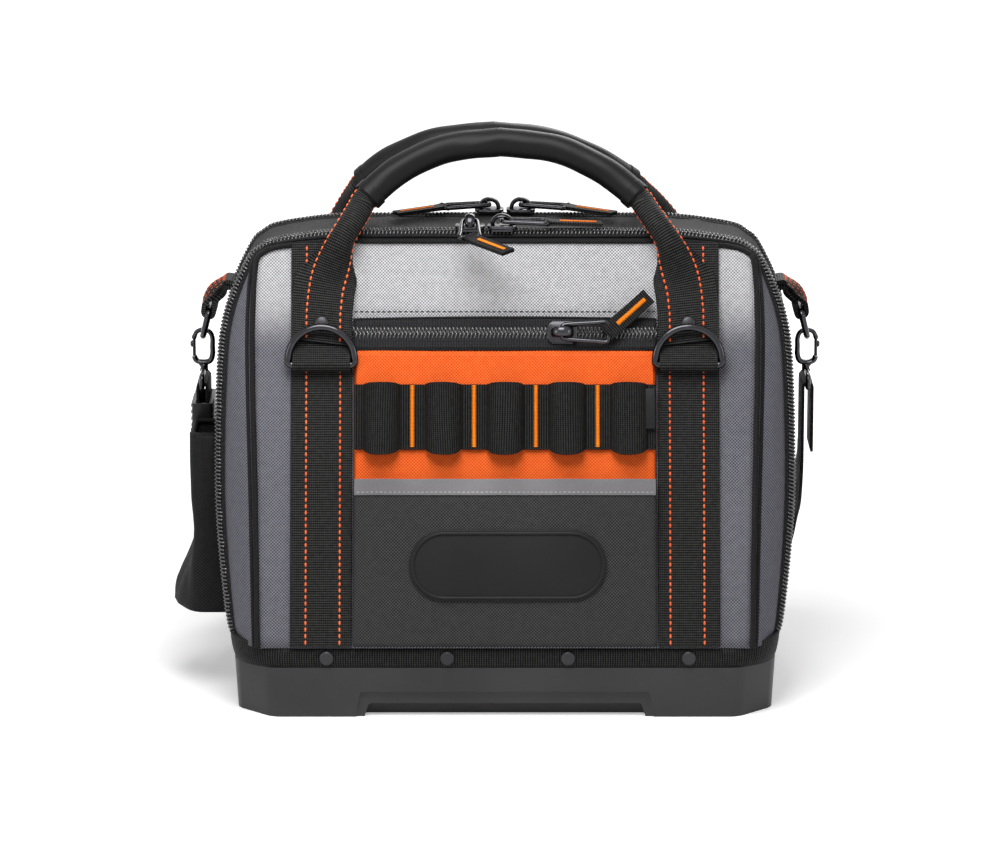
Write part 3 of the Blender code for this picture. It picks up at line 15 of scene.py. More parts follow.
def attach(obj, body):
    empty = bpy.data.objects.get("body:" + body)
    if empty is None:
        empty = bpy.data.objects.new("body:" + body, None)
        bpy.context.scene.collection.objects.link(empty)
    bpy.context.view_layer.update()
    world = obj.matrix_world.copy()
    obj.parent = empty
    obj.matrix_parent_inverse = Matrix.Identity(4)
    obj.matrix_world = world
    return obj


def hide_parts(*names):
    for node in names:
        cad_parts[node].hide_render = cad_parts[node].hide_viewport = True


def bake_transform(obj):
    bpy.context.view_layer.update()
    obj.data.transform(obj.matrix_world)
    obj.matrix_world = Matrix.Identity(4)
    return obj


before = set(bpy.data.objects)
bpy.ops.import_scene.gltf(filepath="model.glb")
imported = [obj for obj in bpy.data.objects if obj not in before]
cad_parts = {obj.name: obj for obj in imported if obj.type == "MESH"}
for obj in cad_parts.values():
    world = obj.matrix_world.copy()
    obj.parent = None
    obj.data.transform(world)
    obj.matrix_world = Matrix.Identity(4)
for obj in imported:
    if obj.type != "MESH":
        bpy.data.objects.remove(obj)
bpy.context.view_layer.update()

# %% [markdown]
# ## Camera, floor and light
# A product photograph is taken from far away with a long lens, so that upright edges stay
# nearly parallel. The bag stands on white paper under a lamp close overhead, so that the
# covers are lightest at the top, with weaker lamps at the sides and behind. The grey cloth
# also has painted light: it is coloured paler near the top of the covers. The floor glows
# for the camera and for reflections only, and more with distance. That turns the paper white
# and leaves the shadow near the bag.

# %% Camera
scene = bpy.context.scene
scene.view_settings.view_transform = "Standard"
CAMERA_PLACE = (0.0, -3.115, 0.885)
CAMERA_PITCH = math.radians(13.14)
FOCAL_LENGTH, SENSOR_WIDTH = 181.7, 36.0
CENTRE_SHIFT = -0.005
VIEW_END = 50.0
lens = bpy.data.cameras.new("camera")
lens.lens = FOCAL_LENGTH
lens.sensor_width = SENSOR_WIDTH
lens.shift_x = CENTRE_SHIFT
lens.clip_end = VIEW_END
camera = bpy.data.objects.new("camera", lens)
camera.location = CAMERA_PLACE
camera.rotation_euler = (math.pi / 2 - CAMERA_PITCH, 0.0, 0.0)
scene.collection.objects.link(camera)
scene.camera = camera
print("camera", CAMERA_PLACE, "lens", FOCAL_LENGTH)

# %% [markdown]
# Materials are graphs of nodes. One helper adds a node with its settings and fills its sockets.
# Where a socket is given a whole node, it is linked to that node's first live output.

# %% Node and colour helpers
def fill(tree, made, sockets):
    for name, value in sockets.items():
        if isinstance(value, bpy.types.Node):
            value = next(output for output in value.outputs if output.enabled)
        if isinstance(value, bpy.types.NodeSocket):
            tree.links.new(value, made.inputs[name])
        else:
            made.inputs[name].default_value = value


def node(tree, kind, sockets=None, **settings):
    made = tree.nodes.new("ShaderNode" + kind)
    for key, value in settings.items():
        setattr(made, key, value)
    fill(tree, made, sockets or {})
    return made


def linear(code):
    """An sRGB hex code as the linear colour that shaders use."""
    channels = [int(code[k : k + 2], 16) / 255 for k in (0, 2, 4)]
    bent = [c / 12.92 if c <= 0.04045 else ((c + 0.055) / 1.055) ** 2.4 for c in channels]
    return (*bent, 1.0)


def as_object(name, bm):
    """An object in the scene from a bmesh, which is used up."""
    mesh = bpy.data.meshes.new(name)
    bm.to_mesh(mesh)
    bm.free()
    made = bpy.data.objects.new(name, mesh)
    scene.collection.objects.link(made)
    return made


# %% World and floor
WHITE = linear("FFFFFF")
PAPER_GREY = linear("F0F0F0")
WORLD_LEVEL = 0.20
GLOW_NEAR, GLOW_FAR = 0.36, 1.0
GLOW_START, GLOW_END = 0.35, 1.10
FLOOR_HALF = 9.0


def emptied(block):
    """The node tree of a world or a material, without its first nodes."""
    block.use_nodes = True
    block.node_tree.nodes.clear()
    return block.node_tree


def seen(tree):
    """1 for rays from the camera, from mirrors and through glass, and 0 for the rest."""
    path = node(tree, "LightPath")
    direct = {0: path.outputs["Is Camera Ray"], 1: path.outputs["Is Glossy Ray"]}
    direct = node(tree, "Math", direct, operation="MAXIMUM")
    through = {0: direct, 1: path.outputs["Is Transmission Ray"]}
    return node(tree, "Math", through, operation="MAXIMUM")


scene.world = bpy.data.worlds.new("studio")
tree = emptied(scene.world)
level = node(tree, "MapRange", {"Value": seen(tree), "To Min": WORLD_LEVEL, "To Max": 1.0})
glow = node(tree, "Background", {"Color": WHITE, "Strength": level})
node(tree, "OutputWorld", {"Surface": glow})

paper = bpy.data.materials.new("white_paper")
tree = emptied(paper)
away = node(tree, "TexCoord").outputs["Object"]
rise = {"Value": node(tree, "VectorMath", {0: away}, operation="LENGTH")}
rise |= {"From Min": GLOW_START, "From Max": GLOW_END, "To Min": GLOW_NEAR, "To Max": GLOW_FAR}
rise = node(tree, "MapRange", rise, interpolation_type="SMOOTHSTEP")
level = node(tree, "Math", {0: seen(tree), 1: rise}, operation="MULTIPLY")
glow = node(tree, "Emission", {"Color": WHITE, "Strength": level})
matte = node(tree, "BsdfDiffuse", {"Color": PAPER_GREY})
both = node(tree, "AddShader", {0: glow, 1: matte})
node(tree, "OutputMaterial", {"Surface": both})

bm = bmesh.new()
bmesh.ops.create_grid(bm, x_segments=1, y_segments=1, size=FLOOR_HALF)
floor = as_object("floor", bm)
floor.data.materials.append(paper)

# %% Lamps
# Each row is a name, the lamp's place and aim, its size in metres and its power in watts
LAMPS = (
    ("lamp_over", (-0.08, -0.40, 0.86), (0.0, -0.06, 0.22), 0.50, 7.5),
    ("lamp_left", (-1.5, -0.9, 0.60), (0.0, 0.0, 0.18), 0.5, 4.4),
    ("lamp_right", (1.5, -0.8, 0.60), (0.0, 0.0, 0.18), 0.5, 3.2),
    ("lamp_back", (0.3, 1.0, 1.00), (0.0, 0.05, 0.20), 0.7, 8.0),
)
for name, place, aim, size, power in LAMPS:
    light = bpy.data.lights.new(name, "AREA")
    light.size = size
    light.energy = power
    lamp = bpy.data.objects.new(name, light)
    lamp.location = place
    lamp.rotation_euler = (Vector(aim) - Vector(place)).to_track_quat("-Z", "Y").to_euler()
    scene.collection.objects.link(lamp)
print("lamps", len(LAMPS))

# %% [markdown]
# ## Finishes
# Heavy polyester cloth is a plain weave: each yarn goes over and under the next, so light and
# dark squares make a slanting lattice. Two sine waves multiplied give just that lattice, and
# the same number drives the colour and the bump. The yarns are 0.6 mm apart on the real cloth
# and are drawn at 1 mm, because finer ones would blur away at this picture size.

# %% Woven cloth
YARN = 0.00100
YARN_BUMP = 0.00026
SLUB_SCALE = 0.25 / YARN
FADE_SCALE = 14.0
FADE_PART, UNEVEN_PART = 0.35, 0.6
WEAVE_DARK, WEAVE_LIGHT = -0.45, 1.25
FIBRE_SHINE = 0.06
# Heights up the bag between which the grey cloth's painted top light fades in
PAINTED_LIGHT_LOW, PAINTED_LIGHT_HIGH = 0.218, 0.252


def new_material(name):
    made = bpy.data.materials.new(name)
    made.use_nodes = True
    tree = made.node_tree
    return made, tree, tree.nodes["Principled BSDF"], node(tree, "TexCoord")


def woven(name, light, dark, roughness, sheen=0.0, painted_top_light=None):
    material, tree, shader, place = new_material(name)
    flat, solid = place.outputs["UV"], place.outputs["Object"]
    waves = node(tree, "VectorMath", {0: flat, "Scale": math.pi / YARN}, operation="SCALE")
    waves = node(tree, "VectorMath", {0: waves}, operation="SINE")
    waves = node(tree, "SeparateXYZ", {0: waves}).outputs
    lattice = node(tree, "Math", {0: waves["X"], 1: waves["Y"]}, operation="MULTIPLY")
    slubs = node(tree, "TexNoise", {"Vector": flat, "Scale": SLUB_SCALE, "Detail": 3.0})
    fade = node(tree, "TexNoise", {"Vector": solid, "Scale": FADE_SCALE, "Detail": 2.0})
    share = node(tree, "Math", {0: fade, 1: FADE_PART, 2: slubs}, operation="MULTIPLY_ADD")
    share = node(tree, "Math", {0: share, 1: UNEVEN_PART, 2: lattice}, operation="MULTIPLY_ADD")
    tone = {"Value": share, "From Min": WEAVE_DARK, "From Max": WEAVE_LIGHT}
    tone = node(tree, "MapRange", tone)
    colour = {"Factor": tone, "A": linear(dark), "B": linear(light)}
    colour = node(tree, "Mix", colour, data_type="RGBA")
    # Painted top light: above these heights the colour turns to a paler pair of shades, which
    # stand for light on the cover's bent-back top
    if painted_top_light:
        height = node(tree, "SeparateXYZ", {0: solid}).outputs["Z"]
        rise = {"Value": height, "From Min": PAINTED_LIGHT_LOW, "From Max": PAINTED_LIGHT_HIGH}
        rise = node(tree, "MapRange", rise, interpolation_type="SMOOTHSTEP")
        lit_colour = {"Factor": tone, "A": linear(painted_top_light[1]), "B": linear(painted_top_light[0])}
        lit_colour = node(tree, "Mix", lit_colour, data_type="RGBA")
        colour = node(tree, "Mix", {"Factor": rise, "A": colour, "B": lit_colour}, data_type="RGBA")
    mound = node(tree, "Math", {0: lattice}, operation="ABSOLUTE")
    bump = node(tree, "Bump", {"Height": mound, "Strength": 0.7, "Distance": YARN_BUMP})
    fill(tree, shader, {"Base Color": colour, "Normal": bump, "Roughness": roughness})
    fill(tree, shader, {"Specular IOR Level": FIBRE_SHINE, "Sheen Weight": sheen})
    return material


# %% The bag's cloths
# Coated polyester: a cool grey whose yarns catch the lamp. Above the pocket zip the real cover
# bends back towards the lamp and looks almost silver. This cover stays flat, so that light is
# painted into the cloth there: its colours turn paler towards the top.
painted_top_light = ("DEDEE0", "626266")
grey_cloth_painted_top = woven(
    "grey_polyester_1680d_painted_top_light", "87878F", "34343B", 0.60, 0.05, painted_top_light)
# The gussets are the same cloth with painted shade: a little darker and more violet, for the shade
# that they stand in
gusset_painted_shade_cloth = woven("grey_polyester_gusset_painted_shade", "7C7C85", "36363C", 0.64, 0.05)
# Charcoal cloth of the slip pocket, the spine and the pad
dark_cloth = woven("charcoal_polyester_1680d", "4C4C4C", "191919", 0.66)
# Black cloth of the side pocket, which shows little but its folds
black_cloth = woven("black_polyester_1680d", "2F2F30", "0E0E0E", 0.62)
# Signal orange cloth of the zip pocket, redder in its valleys
orange_cloth = woven("orange_polyester_1680d", "F27C36", "DA3810", 0.60)

# %% [markdown]
# Webbing is woven on a narrow loom with thick weft, so ribs run across the strap, each one
# broken into small nibs by the warp. The ribs are 1 mm apart on the real strap and are drawn
# 1.5 mm apart, so that a picture of this size still shows them. V runs along the strap in its
# own UV map, so the ribs stay square to it however it bends.

# %% Webbing and zip tape
RIB, NIB = 0.00150, 0.00130
RIB_BUMP = 0.00030
NIB_PART = 0.45
FUZZ_PART = 0.5
RIB_DARK, RIB_LIGHT = 0.60, 1.25


def ribbed(name, light, dark, roughness=0.50, rib=RIB, nib=NIB, depth=RIB_BUMP):
    material, tree, shader, place = new_material(name)
    flat = place.outputs["UV"]
    steps = (math.pi / nib, math.pi / rib, 0.0)
    waves = node(tree, "VectorMath", {0: flat, 1: steps}, operation="MULTIPLY")
    waves = node(tree, "VectorMath", {0: waves}, operation="SINE")
    waves = node(tree, "VectorMath", {0: waves}, operation="ABSOLUTE")
    waves = node(tree, "SeparateXYZ", {0: waves}).outputs
    nibs = {0: waves["X"], 1: NIB_PART, 2: 1 - NIB_PART}
    nibs = node(tree, "Math", nibs, operation="MULTIPLY_ADD")
    ribs = node(tree, "Math", {0: waves["Y"], 1: nibs}, operation="MULTIPLY")
    fuzz = node(tree, "TexNoise", {"Vector": flat, "Scale": 0.5 / rib, "Detail": 3.0})
    share = node(tree, "Math", {0: fuzz, 1: FUZZ_PART, 2: ribs}, operation="MULTIPLY_ADD")
    tone = node(tree, "MapRange", {"Value": share, "From Min": RIB_DARK, "From Max": RIB_LIGHT})
    colour = {"Factor": tone, "A": linear(dark), "B": linear(light)}
    colour = node(tree, "Mix", colour, data_type="RGBA")
    bump = node(tree, "Bump", {"Height": ribs, "Strength": 0.8, "Distance": depth})
    fill(tree, shader, {"Base Color": colour, "Normal": bump, "Roughness": roughness})
    fill(tree, shader, {"Specular IOR Level": FIBRE_SHINE})
    return material


# Black polypropylene webbing: the ribs show as fine grey lines on black
webbing = ribbed("black_polypropylene_webbing", "3D3D3C", "060606")
# Elastic webbing of the tool loops has closer nibs, so that it looks blacker
elastic = ribbed("black_elastic_webbing", "343433", "050505", nib=0.00110)
# Zip tape is a finer polyester twill, greyer and more even than webbing
zip_tape = ribbed(
    "polyester_zip_tape", "38383A", "0F0F10", 0.60, 0.00100, 0.00100, 0.00012)
# Piping is bias tape round a cord, with a soft line along it
piping_tape = ribbed(
    "black_bias_piping", "3C3C3E", "0A0A0A", 0.50, 0.00110, 0.00110, 0.00015)

# %% [markdown]
# Hard and smooth finishes: a little noise in the roughness and the bump keeps each of them from
# looking like a flat colour. Object coordinates are in metres, so a grain of 0.5 mm is a noise
# with a scale of 2000.

# %% Plastic, metal, thread and rubber
GRAIN_PART = 0.4
GRAIN_DARK, GRAIN_LIGHT = 0.40, 1.00


def grained(name, light, dark, roughness, grain, depth,
            metallic=0.0, spread=0.06, shine=0.5):
    material, tree, shader, place = new_material(name)
    solid = place.outputs["Object"]
    fine = node(tree, "TexNoise", {"Vector": solid, "Scale": 1.0 / grain, "Detail": 3.0})
    broad = node(tree, "TexNoise", {"Vector": solid, "Scale": FADE_SCALE, "Detail": 4.0})
    tone = node(tree, "Math", {0: fine, 1: GRAIN_PART, 2: broad}, operation="MULTIPLY_ADD")
    tone = {"Value": tone, "From Min": GRAIN_DARK, "From Max": GRAIN_LIGHT}
    tone = node(tree, "MapRange", tone)
    colour = {"Factor": tone, "A": linear(dark), "B": linear(light)}
    colour = node(tree, "Mix", colour, data_type="RGBA")
    gloss = {"Value": broad, "To Min": roughness - spread, "To Max": roughness + spread}
    gloss = node(tree, "MapRange", gloss)
    bump = node(tree, "Bump", {"Height": fine, "Strength": 0.5, "Distance": depth})
    fill(tree, shader, {"Base Color": colour, "Normal": bump, "Roughness": gloss})
    fill(tree, shader, {"Metallic": metallic, "Specular IOR Level": shine})
    return material


# Injection-moulded polypropylene, spark-eroded: an even dark grey with a soft shine
tray_plastic = grained(
    "moulded_polypropylene", "424243", "323233", 0.40, 0.00060, 0.00004,
    shine=0.20)
# Acetal of the strap fittings, smoother and blacker
fitting_plastic = grained(
    "moulded_acetal", "1D1D1E", "101011", 0.28, 0.00080, 0.00003, shine=0.25)
# Black nickel on zinc die-castings: almost black, with sharp white lights
black_nickel = grained(
    "black_nickel_zinc", "48484B", "303033", 0.16, 0.00200, 0.00001, 1.0, 0.05)
# Blackened steel of the rivets, satin and greyer
rivet_steel = grained(
    "oxidised_steel", "3E3E41", "2C2C2E", 0.40, 0.00050, 0.00003, 0.8)
# Nylon coil, stiff and shiny
coil_nylon = grained(
    "black_nylon_coil", "404042", "151516", 0.16, 0.00100, 0.00001, shine=0.8)
# Bonded polyester thread of the straps, with painted highlights: random patches of a paler orange
# stand for light on the bulges of the thread
orange_thread = grained(
    "orange_polyester_thread", "FF8450", "EC4A12", 0.50, 0.00070, 0.00010,
    shine=0.2)
# Rayon of the bartacks, yellower, with the gloss of silk
tack_thread = grained(
    "orange_rayon_bartack", "FF9A20", "EE7208", 0.42, 0.00080, 0.00012,
    shine=0.2)
# Grey and black thread that nearly sinks into its cloth
pale_thread = grained(
    "grey_polyester_thread", "C2C2C6", "8C8C92", 0.50, 0.00070, 0.00008,
    shine=0.2)
black_thread = grained(
    "black_polyester_thread", "2C2C2E", "141415", 0.50, 0.00070, 0.00008,
    shine=0.2)
# Neoprene-coated cloth over foam, soft and slightly shiny
grip_skin = grained(
    "neoprene_grip_cover", "161617", "0D0D0E", 0.42, 0.00110, 0.00006, shine=0.14)
# Soft PVC of the badge, matt, with a rounded edge that catches light
badge_rubber = grained(
    "moulded_soft_pvc", "242425", "19191A", 0.42, 0.00070, 0.00004, shine=0.15)
# Glass-bead tape: flat grey in studio light, with a fine sparkle
bead_tape = grained(
    "glass_bead_tape", "777577", "5A585A", 0.40, 0.00090, 0.00006)
# Board covered in brushed liner cloth, which has no shine
liner = grained(
    "brushed_liner_board", "58585C", "3F3F43", 0.85, 0.00120, 0.00020, shine=0.1)

# %% [markdown]
# ## Ways of making
# Cloth is made as a flat grid first, because real cloth is cut flat too. Its UV map keeps the
# flat size in metres, and then each point moves to its place on the bag. Round wires, cords and
# coils are curves with a round bevel.

# %% Cloth and wire
STAY = Matrix.Identity(4)
HALF_TURN = Matrix.Rotation(math.pi, 4, "Z")
COVERS = (("front", STAY), ("rear", HALF_TURN))
SIDES = (("left", -1), ("right", 1))
WELD = 1e-6


def cloth(cols, rows, place, size, along_x=False):
    """A grid moved to place(x, y), x and y from 0 to 1, with the cloth's flat size in its UV
    map. The size is (width, length), or a function of x and y where it isn't a rectangle."""
    bm = bmesh.new()
    bmesh.ops.create_grid(bm, x_segments=cols, y_segments=rows, size=0.5)
    bmesh.ops.translate(bm, verts=bm.verts, vec=(0.5, 0.5, 0.0))
    layer = bm.loops.layers.uv.new("cloth")
    for face in bm.faces:
        for loop in face.loops:
            x, y = loop.vert.co.xy
            across, along = size(x, y) if callable(size) else (x * size[0], y * size[1])
            loop[layer].uv = (along, across) if along_x else (across, along)
    for vert in bm.verts:
        vert.co = place(vert.co.x, vert.co.y)
    return bm


def wire(points, radius, closed=False, resolution=2, radii=None):
    """A round wire along points, made by a curve's bevel."""
    curve = bpy.data.curves.new("wire", "CURVE")
    curve.dimensions = "3D"
    spline = curve.splines.new("POLY")
    spline.points.add(len(points) - 1)
    for point, place, swell in zip(spline.points, points, radii or [1.0] * len(points)):
        point.co = (*place, 1.0)
        point.radius = swell
    spline.use_cyclic_u = closed
    curve.bevel_depth = radius
    curve.bevel_resolution = resolution
    curve.use_fill_caps = not closed
    holder = bpy.data.objects.new("wire", curve)
    mesh = bpy.data.meshes.new_from_object(holder)
    bm = bmesh.new()
    bm.from_mesh(mesh)
    bmesh.ops.remove_doubles(bm, verts=bm.verts, dist=WELD / 10)
    bpy.data.objects.remove(holder)
    bpy.data.curves.remove(curve)
    bpy.data.meshes.remove(mesh)
    return bm


def joined(*parts):
    """Several meshes as one."""
    whole = parts[0]
    for part in parts[1:]:
        mesh = bpy.data.meshes.new("part")
        part.to_mesh(mesh)
        part.free()
        whole.from_mesh(mesh)
        bpy.data.meshes.remove(mesh)
    return whole


# %% [markdown]
# Every mesh becomes a piece in the same way: it takes its material, shades smooth except at
# sharp edges, gets its thickness from Solidify and its softened edges from Bevel, and then is
# parented to the body that carries it, while the solid of the imported model that it stands for
# is hidden.

# %% Pieces
SHARP = math.radians(60)
BEVEL_ANGLE = 40


def soften_edges(made, width, segments=2, angle=BEVEL_ANGLE):
    edge = made.modifiers.new("edges", "BEVEL")
    edge.width = width
    edge.segments = segments
    edge.limit_method = "ANGLE"
    edge.angle_limit = math.radians(angle)
    edge.harden_normals = True


def piece(name, bm, material, body, stands_for="", thick=0.0, offset=-1.0, bevel=0.0,
          turn=STAY, smooth=True):
    bmesh.ops.transform(bm, matrix=turn, verts=bm.verts)
    made = as_object(name, bm)
    made.data.materials.append(material)
    if smooth:
        made.data.shade_smooth()
        made.data.set_sharp_from_angle(angle=SHARP)
    if thick:
        wall = made.modifiers.new("thickness", "SOLIDIFY")
        wall.thickness = thick
        wall.offset = offset
    if bevel:
        soften_edges(made, bevel)
    if body:
        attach(made, body)
    if stands_for:
        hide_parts(stands_for)
    return made


def baked(made):
    """Apply the modifiers of an object."""
    graph = bpy.context.evaluated_depsgraph_get()
    made_mesh = bpy.data.meshes.new_from_object(made.evaluated_get(graph))
    made.modifiers.clear()
    made.data = made_mesh


def closed_up(bm):
    """Merge doubles, close holes and turn the faces outwards."""
    bmesh.ops.remove_doubles(bm, verts=bm.verts, dist=WELD)
    bmesh.ops.holes_fill(bm, edges=[e for e in bm.edges if e.is_boundary])
    bmesh.ops.recalc_face_normals(bm, faces=bm.faces)
    return bm


# %% [markdown]
# Whatever follows a line is placed by rows: each row is a point with its directions, and rows
# can be spread evenly, measured, and read at any share of their length.

# %% Paths and rows
def glide(p0, p1, p2, p3, t):
    """A point between p1 and p2, on a smooth curve through four points."""
    return (2 * p1 + (p2 - p0) * t + (2 * p0 - 5 * p1 + 4 * p2 - p3) * t**2
            + (3 * p1 - p0 - 3 * p2 + p3) * t**3) / 2


def smooth_path(points, steps, closed=False):
    """A smooth curve through points, with steps to each span."""
    points = [Vector(p) for p in points]
    count = len(points)
    path = []
    for i in range(count if closed else count - 1):
        near = range(i - 1, i + 3)
        four = [points[j % count if closed else min(max(j, 0), count - 1)] for j in near]
        path += [glide(*four, k / steps) for k in range(steps)]
    return path if closed else path + [points[-1]]


def runs(path):
    """The direction of a path at each of its points."""
    last = len(path) - 1
    return [(path[min(i + 1, last)] - path[max(i - 1, 0)]).normalized() for i in range(last + 1)]


def evenly(rows, count):
    """Rows at equal steps along the path of their first vectors."""
    reach = [0.0]
    for a, b in zip(rows, rows[1:]):
        reach.append(reach[-1] + (b[0] - a[0]).length)
    result = []
    k = 0
    for i in range(count + 1):
        target = reach[-1] * i / count
        while k < len(rows) - 2 and reach[k + 1] < target:
            k += 1
        t = (target - reach[k]) / max(reach[k + 1] - reach[k], 1e-9)
        result.append([a.lerp(b, t) for a, b in zip(rows[k], rows[k + 1])])
    return result


def path_length(rows):
    return sum((b[0] - a[0]).length for a, b in zip(rows, rows[1:]))


def at(rows, share):
    """The row at a share of the list, mixed between its neighbours."""
    spot = share * (len(rows) - 1)
    k = min(int(spot), len(rows) - 2)
    return [a.lerp(b, spot - k) for a, b in zip(rows[k], rows[k + 1])]


def points_only(points):
    """Rows that hold nothing but their points."""
    return [(Vector(p),) for p in points]


def look_up(table, height):
    """The width at a height, in a table of (width, height) that climbs."""
    height = max(height, table[0][1])
    for (w0, h0), (w1, h1) in zip(table, table[1:]):
        if height <= h1 + 1e-9:
            return w0 + (w1 - w0) * (height - h0) / max(h1 - h0, 1e-9)
    return table[-1][0]


def square_to(direction, run):
    return (direction - direction.dot(run) * run).normalized()


def flipped(p):
    return Vector((-p.x, p.y, p.z))


def smoothstep(t):
    t = min(max(t, 0.0), 1.0)
    return t * t * (3 - 2 * t)


def ripple(x, y, seed, size):
    """Slow uneven waves, the same in each run."""
    return noise.noise(Vector((x, y, seed))) * size


# %% [markdown]
# ## Sewing
# A lockstitch shows as a row of small rounded dashes that sink at both ends. A bartack is the
# same thread laid side by side. Each dash is a squashed icosphere, the lightest round shape.

# %% Stitches
# The pitch of a seam, and the length, width and height of its dashes
STRAP_SEAM = (0.00400, 0.00325, 0.00150, 0.00110)
ZIP_SEAM = (0.0030, 0.0022, 0.0006, 0.0006)
FLAT_SEAM = (0.0030, 0.0022, 0.0006, 0.0005)
HEM_SEAM = (0.0034, 0.0026, 0.0007, 0.0006)
PANEL_SEAM = (0.0034, 0.0026, 0.0007, 0.0007)
STRIP_SEAM = (0.0028, 0.0023, 0.0007, 0.0007)
TAB_SEAM = (0.0030, 0.0026, 0.0006, 0.0006)
POCKET_SEAM = (0.0032, 0.0024, 0.0007, 0.0007)
TACK_PITCH, TACK_HEIGHT = 0.00085, 0.0011


def stitches(rows, seam=STRAP_SEAM):
    """Dashes along rows of (point, outward direction)."""
    pitch, length, width, height = seam
    count = max(int(path_length(rows) / pitch), 1)
    rows = evenly(rows, 2 * count)
    bm = bmesh.new()
    for k in range(1, 2 * count, 2):
        point, out = rows[k]
        run = (rows[k + 1][0] - rows[k - 1][0]).normalized()
        side = run.cross(out).normalized()
        shape = Matrix((run * length / 2, side * width / 2, out * height / 2))
        shape = Matrix.Translation(point) @ shape.transposed().to_4x4()
        bmesh.ops.create_icosphere(bm, subdivisions=1, radius=1.0, matrix=shape)
    return bm


def bartack(start, end, out, width):
    """Thread laid side by side from start to end."""
    rows = [(Vector(start), Vector(out)), (Vector(end), Vector(out))]
    return stitches(rows, (TACK_PITCH, TACK_PITCH * 1.15, width, TACK_HEIGHT))


# %% [markdown]
# ## The lines of the covers
# Everything on a cover follows two arches: the edge of the leaning panel, and the zip behind it.
# Both come from the same shares of width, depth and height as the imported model, drawn finer.

# %% Panel
FABRIC_FOOT = 0.0446
PANEL_LEAN = math.radians(18.95)
PANEL_UP = Vector((0.0, math.sin(PANEL_LEAN), math.cos(PANEL_LEAN)))
PANEL_OUT = Vector((0.0, -math.cos(PANEL_LEAN), math.sin(PANEL_LEAN)))
PANEL_FOOT = Vector((0.0, -0.1162, FABRIC_FOOT))
PANEL_FRAME = Matrix.Translation(PANEL_FOOT) @ Matrix.Rotation(-PANEL_LEAN, 4, "X")
FACE_FRONT = Matrix.Rotation(math.pi / 2, 4, "X")
PANEL_HALF, PANEL_LENGTH = 0.1565, 0.2530
CROWN = 0.0012
GAP = 0.0003


def crown(x, up):
    """How far the stiffened panel swells out of flat."""
    across = max(1 - (x / PANEL_HALF) ** 2, 0.0)
    return CROWN * across * math.sin(math.pi * min(up / PANEL_LENGTH, 1.0))


def on_panel(x, up, out=0.0):
    return PANEL_FOOT + Vector((x, 0.0, 0.0)) + up * PANEL_UP + out * PANEL_OUT


def mounted(x, up, out):
    """Where a fitting stands on the panel, before it is turned to face the front."""
    return PANEL_FRAME @ Matrix.Translation((x, -out, up))


def mirrored(half):
    return half + [flipped(p) for p in half[-2::-1]]


# %% Arches
ZIP_HALF = 0.1793
ZIP_TOP = Vector((0.0, -0.0280, 0.2895))
ZIP_FOOT_Y = -0.0885
ZIP_TAPE = 0.0060
ARCH_STEPS, ARCH_STATIONS = 7, 260
ZIP_SHARES = (
    (0.937, 0.000, 0.000), (0.962, 0.070, 0.062), (0.997, 0.355, 0.332), (0.994, 0.686, 0.647),
    (0.968, 0.851, 0.799), (0.893, 0.983, 0.925), (0.853, 1.000, 0.955), (0.797, 1.000, 0.976),
    (0.613, 1.000, 0.996), (0.446, 1.000, 0.999), (0.000, 1.000, 1.000),
)
EDGE_SHARES = (
    (0.974, 0.000), (0.976, 0.063), (0.985, 0.347), (0.999, 0.668), (1.000, 0.815),
    (0.987, 0.947), (0.955, 0.973), (0.895, 0.986), (0.690, 0.999), (0.498, 1.000),
    (0.000, 1.000),
)
BACK = Vector((0.0, 1.0, 0.0))
deep, high = ZIP_TOP.y - ZIP_FOOT_Y, ZIP_TOP.z - FABRIC_FOOT
half_zip = [
    Vector((-ZIP_HALF * x, ZIP_FOOT_Y + deep * y, FABRIC_FOOT + high * z))
    for x, y, z in ZIP_SHARES
]
half_edge = [on_panel(-PANEL_HALF * x, PANEL_LENGTH * s) for x, s in EDGE_SHARES]
zip_arch = mirrored(smooth_path(half_zip, ARCH_STEPS))
edge_arch = mirrored(smooth_path(half_edge, ARCH_STEPS))
stations = []
for point, edge, run in zip(zip_arch, edge_arch, runs(zip_arch)):
    across = square_to(edge - point, run)
    back = square_to(BACK, run)
    outs = across.cross(run).normalized(), run.cross(back).normalized()
    stations.append((point, across, outs[0], edge, back, outs[1]))
stations = evenly(stations, ARCH_STATIONS)
cover_rows = [(row[0], row[1].normalized(), row[2].normalized()) for row in stations]
spine_rows = [(row[0], row[4].normalized(), row[5].normalized()) for row in stations]
edge_rows = [(row[3],) for row in stations]
arch_length = path_length(cover_rows)
panel_table = [(-p.x, (p - PANEL_FOOT).dot(PANEL_UP)) for p in edge_arch if p.x <= 0.0]
print(f"zip arch {arch_length:.3f} m")

# %% [markdown]
# ## The covers' cloth
# A cover is a flat panel of stiffened cloth, a gusset that runs round it to the zip, and a cord
# of piping sewn into the seam between them. The gusset is pulled tight at both seams and swells
# a little between. The rear cover is the front one turned half round.

# %% Shells
CLOTH, GUSSET_CLOTH = 0.0030, 0.0018
PUCKER = 0.0005
EDGE_BAND = 0.020
CROWDING = 1.6
SWELL_SHARE, SWELL_MOST = 0.10, 0.0022


def panel_flat(x, y):
    """Rows crowd towards the top, where the corners are round."""
    up = PANEL_LENGTH * (1 - (1 - y) ** CROWDING)
    return look_up(panel_table, up) * (2 * x - 1), up


def panel_place(x, y):
    across, up = panel_flat(x, y)
    near_edge = 1 - smoothstep((look_up(panel_table, up) - abs(across)) / EDGE_BAND)
    wave = ripple(across * 30, up * 30, 0.0, PUCKER) * (0.4 + near_edge)
    return on_panel(across, up, crown(across, up) + wave)


def footed(spot, x):
    """Both ends of an arch stand level on the tray."""
    if x in (0.0, 1.0):
        spot.z = FABRIC_FOOT
    return spot


